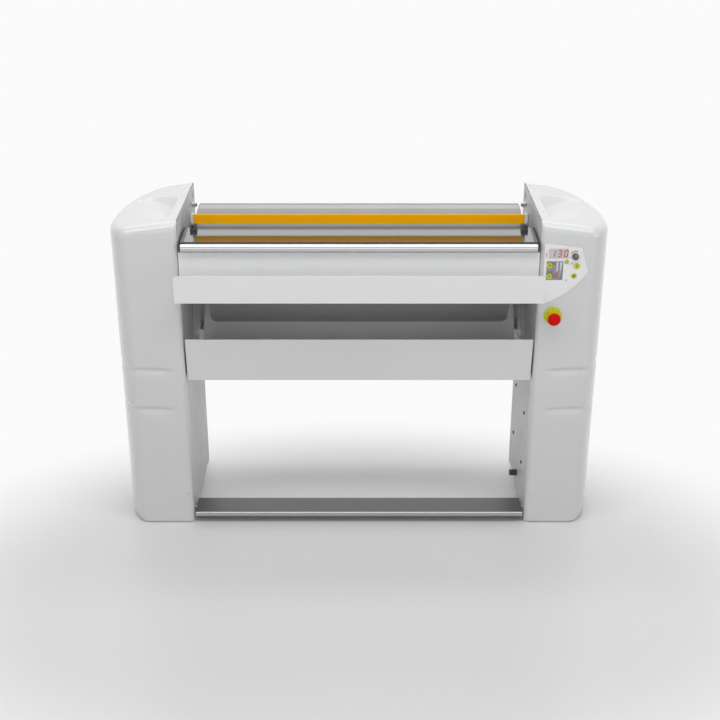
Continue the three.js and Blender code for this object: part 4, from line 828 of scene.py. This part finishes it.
# ---- Finger guard
# A flat bar in orange-yellow powder coat lies over the table's rear edge. Two pale arms carry
# it on black pivot blocks, and a push tips it back and stops the roller.
guard_coat, shader = material("guard_coat", (0.80, 0.37, 0.0005), 0.5, specular=0.06)
relief(guard_coat, shader, pattern(guard_coat, 600.0, detail=1.0), 0.12, 0.0003)
vary(guard_coat, shader, "Base Color", pattern(guard_coat, 5.0),
     (0.79, 0.365, 0.0005), (0.815, 0.38, 0.0008))
guard_low, guard_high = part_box("guard_bar")
bm = bmesh.new()
block(bm, guard_high - guard_low, (guard_high + guard_low) / 2)
rounded(bm, bm.edges[:], 0.0018, 4)
guard = piece("guard_rail", bm, guard_coat, "guard", 40)
steady(guard)
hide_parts("guard_bar")
arm_paint = sheet_paint(
    "guard_arm_paint", (0.52, 0.525, 0.53), 0.4, (0.34, 0.46), 60.0, detail=3.0
)
dress(arm_paint, "left_guard_arm", "right_guard_arm")

# ---- Control plate
# A thin white plate with a printed foil, stuck to the right housing beside the table: a red
# three-figure display, a speed knob, and soft keys for heat, lamp, start and stop.
foil_white, shader = patchy("plate_foil", (0.86, 0.86, 0.87), 0.38, (0.32, 0.44), 30.0)
relief(foil_white, shader, pattern(foil_white, 900.0), 0.05, 0.0002)
plate_low, plate_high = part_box("control_plate")
plate_corner = Vector((plate_low.x, plate_low.y, plate_high.z))


def on_plate(x, drop):
    """A place on the plate's face, in millimetres from its inner upper corner."""
    return Vector((plate_corner.x + x / 1000, plate_corner.y, plate_corner.z - drop / 1000))


plate_edge = [(132.0, 83), (133.0, 86), (132.2, 89)]
for i in range(1, 17):
    t = i / 16
    plate_edge.append((
        (1 - t) ** 2 * 132.2 + 2 * t * (1 - t) * 96 + t * t * 3,
        (1 - t) ** 2 * 89 + 2 * t * (1 - t) * 155 + t * t * 192,
    ))
plate_edge += [(0.5, 191), (0, 188), (0, 4), (1.2, 1), (4, 0.4)]
plate_edge += [(107, 13.5), (110.4, 15), (112, 18)]


def facing_front(centre):
    """Turns what is made lying at the origin to face the operator, at its place."""
    return Matrix.Translation(centre) @ Matrix.Rotation(math.pi / 2, 4, "X")


def pierced(corners, keys, lift=0.0):
    """A flat sheet on the plate's face, with a round opening for each key that passes it."""
    bm = bmesh.new()
    ring = [bm.verts.new(on_plate(x, drop)) for x, drop in corners]
    for pair in zip(ring, ring[1:] + ring[:1]):
        bm.edges.new(pair)
    for key in keys:
        low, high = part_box(key)
        centre = Vector(((low.x + high.x) / 2, plate_corner.y, (low.z + high.z) / 2))
        opening = (high.x - low.x) / 2 + 0.0003
        bmesh.ops.create_circle(bm, segments=48, radius=opening, matrix=facing_front(centre))
    bmesh.ops.triangle_fill(bm, use_beauty=True, edges=bm.edges[:], normal=(0, -1, 0))
    bm.normal_update()
    bmesh.ops.reverse_faces(bm, faces=[face for face in bm.faces if face.normal.y > 0])
    bmesh.ops.translate(bm, vec=(0, -lift, 0), verts=bm.verts)
    return bm


all_keys = ("plus_key", "minus_key", "lamp_key", "start_key", "stop_key")
bm = pierced(plate_edge, all_keys)
grown = bmesh.ops.extrude_face_region(bm, geom=bm.faces[:])["geom"]
lifted = [part for part in grown if isinstance(part, bmesh.types.BMVert)]
bmesh.ops.translate(bm, vec=(0, 0.0014, 0), verts=[v for v in bm.verts if v not in lifted])
bmesh.ops.recalc_face_normals(bm, faces=bm.faces)
front = [
    edge for edge in bm.edges
    if all(v.co.y < plate_low.y + 1e-4 for v in edge.verts) and edge.calc_face_angle(0) > 1
]
rounded(bm, front, 0.0005, 3)
plate = piece("plate_sheet", bm, foil_white, "machine", 40)
steady(plate)
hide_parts("control_plate")


def printed(name, corners, finish, lift=0.00012, depth=0.0003, keys=()):
    """A flat printed mark on the plate's face, from its corners in millimetres."""
    mark = piece(name, pierced(corners, keys, lift), finish, "machine")
    mark.modifiers.new("ink", "SOLIDIFY").thickness = depth
    return mark


def round_corners(left, top, right, bottom, radius, steps=5):
    centres = ((right - radius, top + radius, -90), (right - radius, bottom - radius, 0),
               (left + radius, bottom - radius, 90), (left + radius, top + radius, 180))
    corners = []
    for x, drop, start in centres:
        for i in range(steps + 1):
            t = math.radians(start + 90 * i / steps)
            corners.append((x + radius * math.cos(t), drop + radius * math.sin(t)))
    return corners


def ink(name, colour):
    return patchy(name, colour, 0.5, (0.42, 0.58), 200.0)[0]


ink_grey = ink("ink_grey", (0.29, 0.29, 0.31))
ink_red = ink("ink_red", (0.5, 0.03, 0.035))
ink_dark = ink("ink_dark", (0.03, 0.03, 0.035))
ink_pale = ink("ink_pale", (0.7, 0.7, 0.72))
heat_corners = round_corners(8.3, 54.1, 58, 114, 3)
printed("heat_field", heat_corners, ink_grey, keys=("plus_key", "minus_key"))
printed("heat_column", round_corners(38.3, 58, 42.6, 111, 2), ink_pale, 0.0003)
printed("heat_level", round_corners(38.8, 86, 42.1, 110, 1.6), ink_red, 0.0005)
printed("heat_ramp", [(49, 58), (54.5, 58), (48.6, 110)], ink_pale, 0.0003)
printed("scale_mark", [(5.5, 27), (7.3, 27), (6.9, 42), (5.3, 42)], ink_red)
arc_points = [(92 + r * math.sin(t), 39 - r * math.cos(t)) for r, turns in
              ((14.8, range(-56, 29, 6)), (17.4, range(28, -57, -6)))
              for t in (math.radians(a) for a in turns)]
printed("speed_arc", arc_points, ink_red)
dots = ((83.3, 61.6, 1.7), (69.9, 114.4, 1.8), (76.5, 44, 1.2), (107, 44, 1.3))
for number, (x, drop, size) in enumerate(dots):
    dot = [(x + size * math.cos(t), drop + size * math.sin(t))
           for t in (math.tau * i / 16 for i in range(16))]
    printed(f"plate_dot_{number + 1}", dot, ink_dark)

smoked_window, _ = patchy("smoked_window", (0.60, 0.58, 0.57), 0.25, (0.2, 0.3), 60.0)
dress(smoked_window, "display_window")
lit_red, _ = patchy("lit_segment", (0.50, 0.02, 0.03), 0.5, (0.35, 0.45), 80.0, specular=0.2)
window_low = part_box("display_window")[0]
lit_bars = {"1": "bc", "3": "abcdg", "0": "abcdef"}
bar_places = {
    "a": (0, 0.0100), "b": (0.0047, 0.0050), "c": (0.0047, -0.0050), "d": (0, -0.0100),
    "e": (-0.0047, -0.0050), "f": (-0.0047, 0.0050), "g": (0, 0),
}
first_figure_x, figure_step, figure_z, figure_lean = 0.5775, 0.0193, 0.9330, 0.1
for place, figure in enumerate("130"):
    middle_x = first_figure_x + figure_step * place
    bm = bmesh.new()
    for bar in lit_bars[figure]:
        size = (0.0070, 0.0003, 0.0026) if bar in "adg" else (0.0026, 0.0003, 0.0086)
        x, z = bar_places[bar]
        block(bm, size, (middle_x + x + figure_lean * z, window_low.y - 0.0001, figure_z + z))
    piece(f"display_figure_{place + 1}", bm, lit_red, "machine")

# ---- Keys and knob
# Soft domed keys, one plain green and four yellow with a sign printed on each; the speed knob
# is a grey moulding with a ribbed grip and a pale pointer line.
key_yellow, _ = patchy("key_yellow", (0.66, 0.64, 0.02), 0.5, (0.36, 0.5), 120.0, specular=0.2)
key_green, _ = patchy("key_green", (0.45, 0.56, 0.07), 0.5, (0.36, 0.5), 120.0, specular=0.2)


def front_rim(bm):
    """The edges round the front of a key or knob, still lying at the origin."""
    return [edge for edge in bm.edges if all(vert.co.z > 0 for vert in edge.verts)]


key_signs = {
    "plus_key": [(0.0064, 0.0020), (0.0020, 0.0064)],
    "minus_key": [(0.0070, 0.0021)],
    "start_key": [(0.0023, 0.0086)],
    "stop_key": "ring",
    "lamp_key": [],
}
for key, signs in key_signs.items():
    low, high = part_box(key)
    centre, radius = (low + high) / 2, (high.x - low.x) / 2
    bm = bmesh.new()
    rod(bm, radius, high.y - low.y, 48)
    rounded(bm, front_rim(bm), 0.0007, 4)
    bmesh.ops.transform(bm, matrix=facing_front(centre), verts=bm.verts)
    finish, slot = (key_green, "green_key") if key == "lamp_key" else (key_yellow, "yellow_key")
    cap = piece(f"{key}_cap", bm, finish, key, 40)
    steady(cap)
    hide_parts(key)
    bm = bmesh.new()
    if signs == "ring":
        bmesh.ops.create_circle(bm, segments=40, radius=0.0044)
        bmesh.ops.create_circle(bm, segments=40, radius=0.0022)
        bmesh.ops.bridge_loops(bm, edges=bm.edges[:])
        place = facing_front((centre.x, low.y - 0.00025, centre.z))
        bmesh.ops.transform(bm, matrix=place, verts=bm.verts)
        bmesh.ops.recalc_face_normals(bm, faces=bm.faces)
    else:
        for width, height in signs:
            block(bm, (width, 0.0003, height), (centre.x, low.y - 0.0001, centre.z))
    if bm.verts:
        sign = piece(f"{key}_sign", bm, ink_dark, key)
        if signs == "ring":
            sign.modifiers.new("ink", "SOLIDIFY").thickness = 0.0002
    else:
        bm.free()

knob_grey, shader = material("knob_moulding", (0.095, 0.10, 0.105), 0.45)
relief(knob_grey, shader, pattern(knob_grey, 400.0), 0.1, 0.0003)
knob_low, knob_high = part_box("speed_knob")
knob_centre = (knob_low + knob_high) / 2
knob_depth, knob_ribs = 0.012, 18
bm = bmesh.new()
rod(bm, 0.0103, knob_depth, 72, 0.0088)
for vert in bm.verts:
    turn = math.atan2(vert.co.y, vert.co.x)
    shrink = 1 - 0.035 * (0.5 + 0.5 * math.cos(knob_ribs * turn))
    vert.co.x *= shrink
    vert.co.y *= shrink
rounded(bm, front_rim(bm), 0.001, 3)
place = facing_front((knob_centre.x, knob_low.y + knob_depth / 2, knob_centre.z))
bmesh.ops.transform(bm, matrix=place, verts=bm.verts)
knob = piece("knob_grip", bm, knob_grey, "speed_knob", 35)
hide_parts("speed_knob")
bm = bmesh.new()
pointer_middle = (knob_centre.x, knob_low.y - 0.00005, knob_centre.z + 0.0046)
block(bm, (0.0014, 0.0003, 0.0066), pointer_middle)
piece("knob_pointer", bm, ink_pale, "speed_knob")

# ---- Emergency stop
# A red mushroom head on a yellow plate and collar. It is pushed in to stop the machine and
# turned to let it out again.
stop_yellow, _ = patchy("stop_yellow", (0.60, 0.62, 0.004), 0.5, (0.36, 0.5), 90.0, specular=0.2)
stop_red, shader = patchy("stop_red", (0.62, 0.001, 0.001), 0.45, (0.4, 0.5), 70.0, specular=0.12)
relief(stop_red, shader, pattern(stop_red, 500.0), 0.04, 0.0002)


def turned(name, profile, centre, finish, body, steps=72, sharp=35):
    """A moulding turned about a line that runs forwards through the centre."""
    bm = bmesh.new()
    line(bm, [(centre.x + radius, y, centre.z) for radius, y in profile])
    bmesh.ops.spin(
        bm, geom=bm.verts[:] + bm.edges[:], cent=(centre.x, 0, centre.z), axis=(0, 1, 0),
        dvec=(0, 0, 0), angle=math.tau, steps=steps, use_merge=True,
    )
    bmesh.ops.remove_doubles(bm, verts=bm.verts, dist=1e-6)
    bmesh.ops.recalc_face_normals(bm, faces=bm.faces)
    return piece(name, bm, finish, body, sharp)


ring_low, ring_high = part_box("estop_ring")
stop_centre = (ring_low + ring_high) / 2
plate_y = ring_high.y - 0.004
stem_radius = 0.01045
ring_profile = [
    (stem_radius, ring_high.y), (0.0262, ring_high.y), (0.0270, ring_high.y - 0.0008),
    (0.0270, plate_y + 0.0012), (0.0266, plate_y + 0.0004), (0.0258, plate_y), (0.0162, plate_y),
    (0.0154, plate_y - 0.0004), (0.0150, plate_y - 0.0012), (0.0150, ring_low.y + 0.0008),
    (0.0146, ring_low.y + 0.0002), (0.0140, ring_low.y), (stem_radius, ring_low.y),
    (stem_radius, ring_high.y),
]
ring = turned("stop_plate", ring_profile, stop_centre, stop_yellow, "machine")
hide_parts("estop_ring")
head_rear_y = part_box("estop_head")[1].y
bore_radius, bore_y = 0.0054, head_rear_y - 0.0084
head_profile = [
    (0.0, bore_y), (bore_radius, bore_y), (bore_radius, head_rear_y), (0.0160, head_rear_y),
    (0.0176, head_rear_y - 0.0006), (0.0192, head_rear_y - 0.0028),
]
for i in range(13):
    t = i / 12 * math.pi / 2
    radius = 0.0200 * math.cos(t) ** 0.62 if i < 12 else 0.0
    head_profile.append((radius, head_rear_y - 0.0050 - 0.0110 * math.sin(t)))
head = turned("stop_head", head_profile, stop_centre, stop_red, "estop_head", 96, 50)
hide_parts("estop_head")

# ---- Floor and light
# A pale studio floor that fades to white round the machine, long soft strip lights high in front,
# above and behind, weaker softboxes in front and at both sides, and plain light all round.


def any_ray(tree, *kinds):
    """One where a ray is of any of these kinds, and nought elsewhere."""
    rays = tree.nodes.new("ShaderNodeLightPath")
    found = rays.outputs[kinds[0]]
    for kind in kinds[1:]:
        either = tree.nodes.new("ShaderNodeMath")
        either.operation = "MAXIMUM"
        tree.links.new(found, either.inputs[0])
        tree.links.new(rays.outputs[kind], either.inputs[1])
        found = either.outputs["Value"]
    return found


floor_mesh = bmesh.new()
bmesh.ops.create_grid(floor_mesh, x_segments=1, y_segments=1, size=14)
mesh = bpy.data.meshes.new("floor")
floor_mesh.to_mesh(mesh)
floor_mesh.free()
floor = bpy.data.objects.new("floor", mesh)
bpy.context.scene.collection.objects.link(floor)
floor_finish, shader = material("studio_floor", (0.84, 0.84, 0.845), 0.3, specular=0.5)
tree = floor_finish.node_tree
place = tree.nodes.new("ShaderNodeTexCoord")
pool = tree.nodes.new("ShaderNodeMapping")
pool.inputs["Location"].default_value = (0, 0.55, 0)
pool.inputs["Scale"].default_value = (1 / 1.45, 1, 1)
tree.links.new(place.outputs["Object"], pool.inputs["Vector"])
away = tree.nodes.new("ShaderNodeVectorMath")
away.operation = "LENGTH"
tree.links.new(pool.outputs["Vector"], away.inputs[0])
fade = tree.nodes.new("ShaderNodeMapRange")
fade.interpolation_type = "SMOOTHSTEP"
fade.inputs["From Min"].default_value = 0.62
fade.inputs["From Max"].default_value = 1.15
tree.links.new(away.outputs["Value"], fade.inputs["Value"])
share = tree.nodes.new("ShaderNodeMath")
share.operation = "MULTIPLY"
tree.links.new(fade.outputs["Result"], share.inputs[0])
tree.links.new(any_ray(tree, "Is Camera Ray", "Is Glossy Ray"), share.inputs[1])
white = tree.nodes.new("ShaderNodeEmission")
white.inputs["Color"].default_value = (0.96, 0.96, 0.96, 1)
mix = tree.nodes.new("ShaderNodeMixShader")
tree.links.new(share.outputs["Value"], mix.inputs["Fac"])
tree.links.new(shader.outputs["BSDF"], mix.inputs[1])
tree.links.new(white.outputs["Emission"], mix.inputs[2])
tree.links.new(mix.outputs["Shader"], tree.nodes["Material Output"].inputs["Surface"])
floor.data.materials.append(floor_finish)

world = bpy.data.worlds.new("studio")
bpy.context.scene.world = world
world.use_nodes = True
tree = world.node_tree
backdrop = tree.nodes["Background"]
backdrop.inputs["Color"].default_value = (1, 1, 1, 1)
backdrop_rays = any_ray(tree, "Is Camera Ray", "Is Glossy Ray", "Is Transmission Ray")
level = tree.nodes.new("ShaderNodeMapRange")
level.inputs["To Min"].default_value = 0.34
level.inputs["To Max"].default_value = 1.0
tree.links.new(backdrop_rays, level.inputs["Value"])
tree.links.new(level.outputs["Result"], backdrop.inputs["Strength"])

for name, place, aim, size, watts in (
    ("key_strip", (0, -1.0, 2.7), (0, 0, 0.9), (3.4, 0.7), 28),
    ("top_strip", (0, 0.45, 2.75), (0, 0, 0.9), (3.4, 0.35), 11),
    ("rear_strip", (0, 1.9, 3.1), (0, 0, 1.0), (3.6, 0.7), 16),
    ("front_softbox", (0, -3.4, 0.95), (0, 0, 0.6), (2.6, 1.2), 9),
    ("left_softbox", (-3.0, -1.8, 1.1), (0, 0, 0.6), (1.2, 1.6), 8),
    ("right_softbox", (3.0, -1.8, 1.1), (0, 0, 0.6), (1.2, 1.6), 11),
):
    lamp = bpy.data.lights.new(name, "AREA")
    lamp.shape = "RECTANGLE"
    lamp.size, lamp.size_y = size
    lamp.energy = watts
    holder = bpy.data.objects.new(name, lamp)
    holder.location = place
    holder.rotation_euler = (Vector(aim) - Vector(place)).to_track_quat("-Z", "Y").to_euler()
    holder.visible_camera = False
    bpy.context.scene.collection.objects.link(holder)

bpy.context.scene.view_settings.view_transform = "Standard"
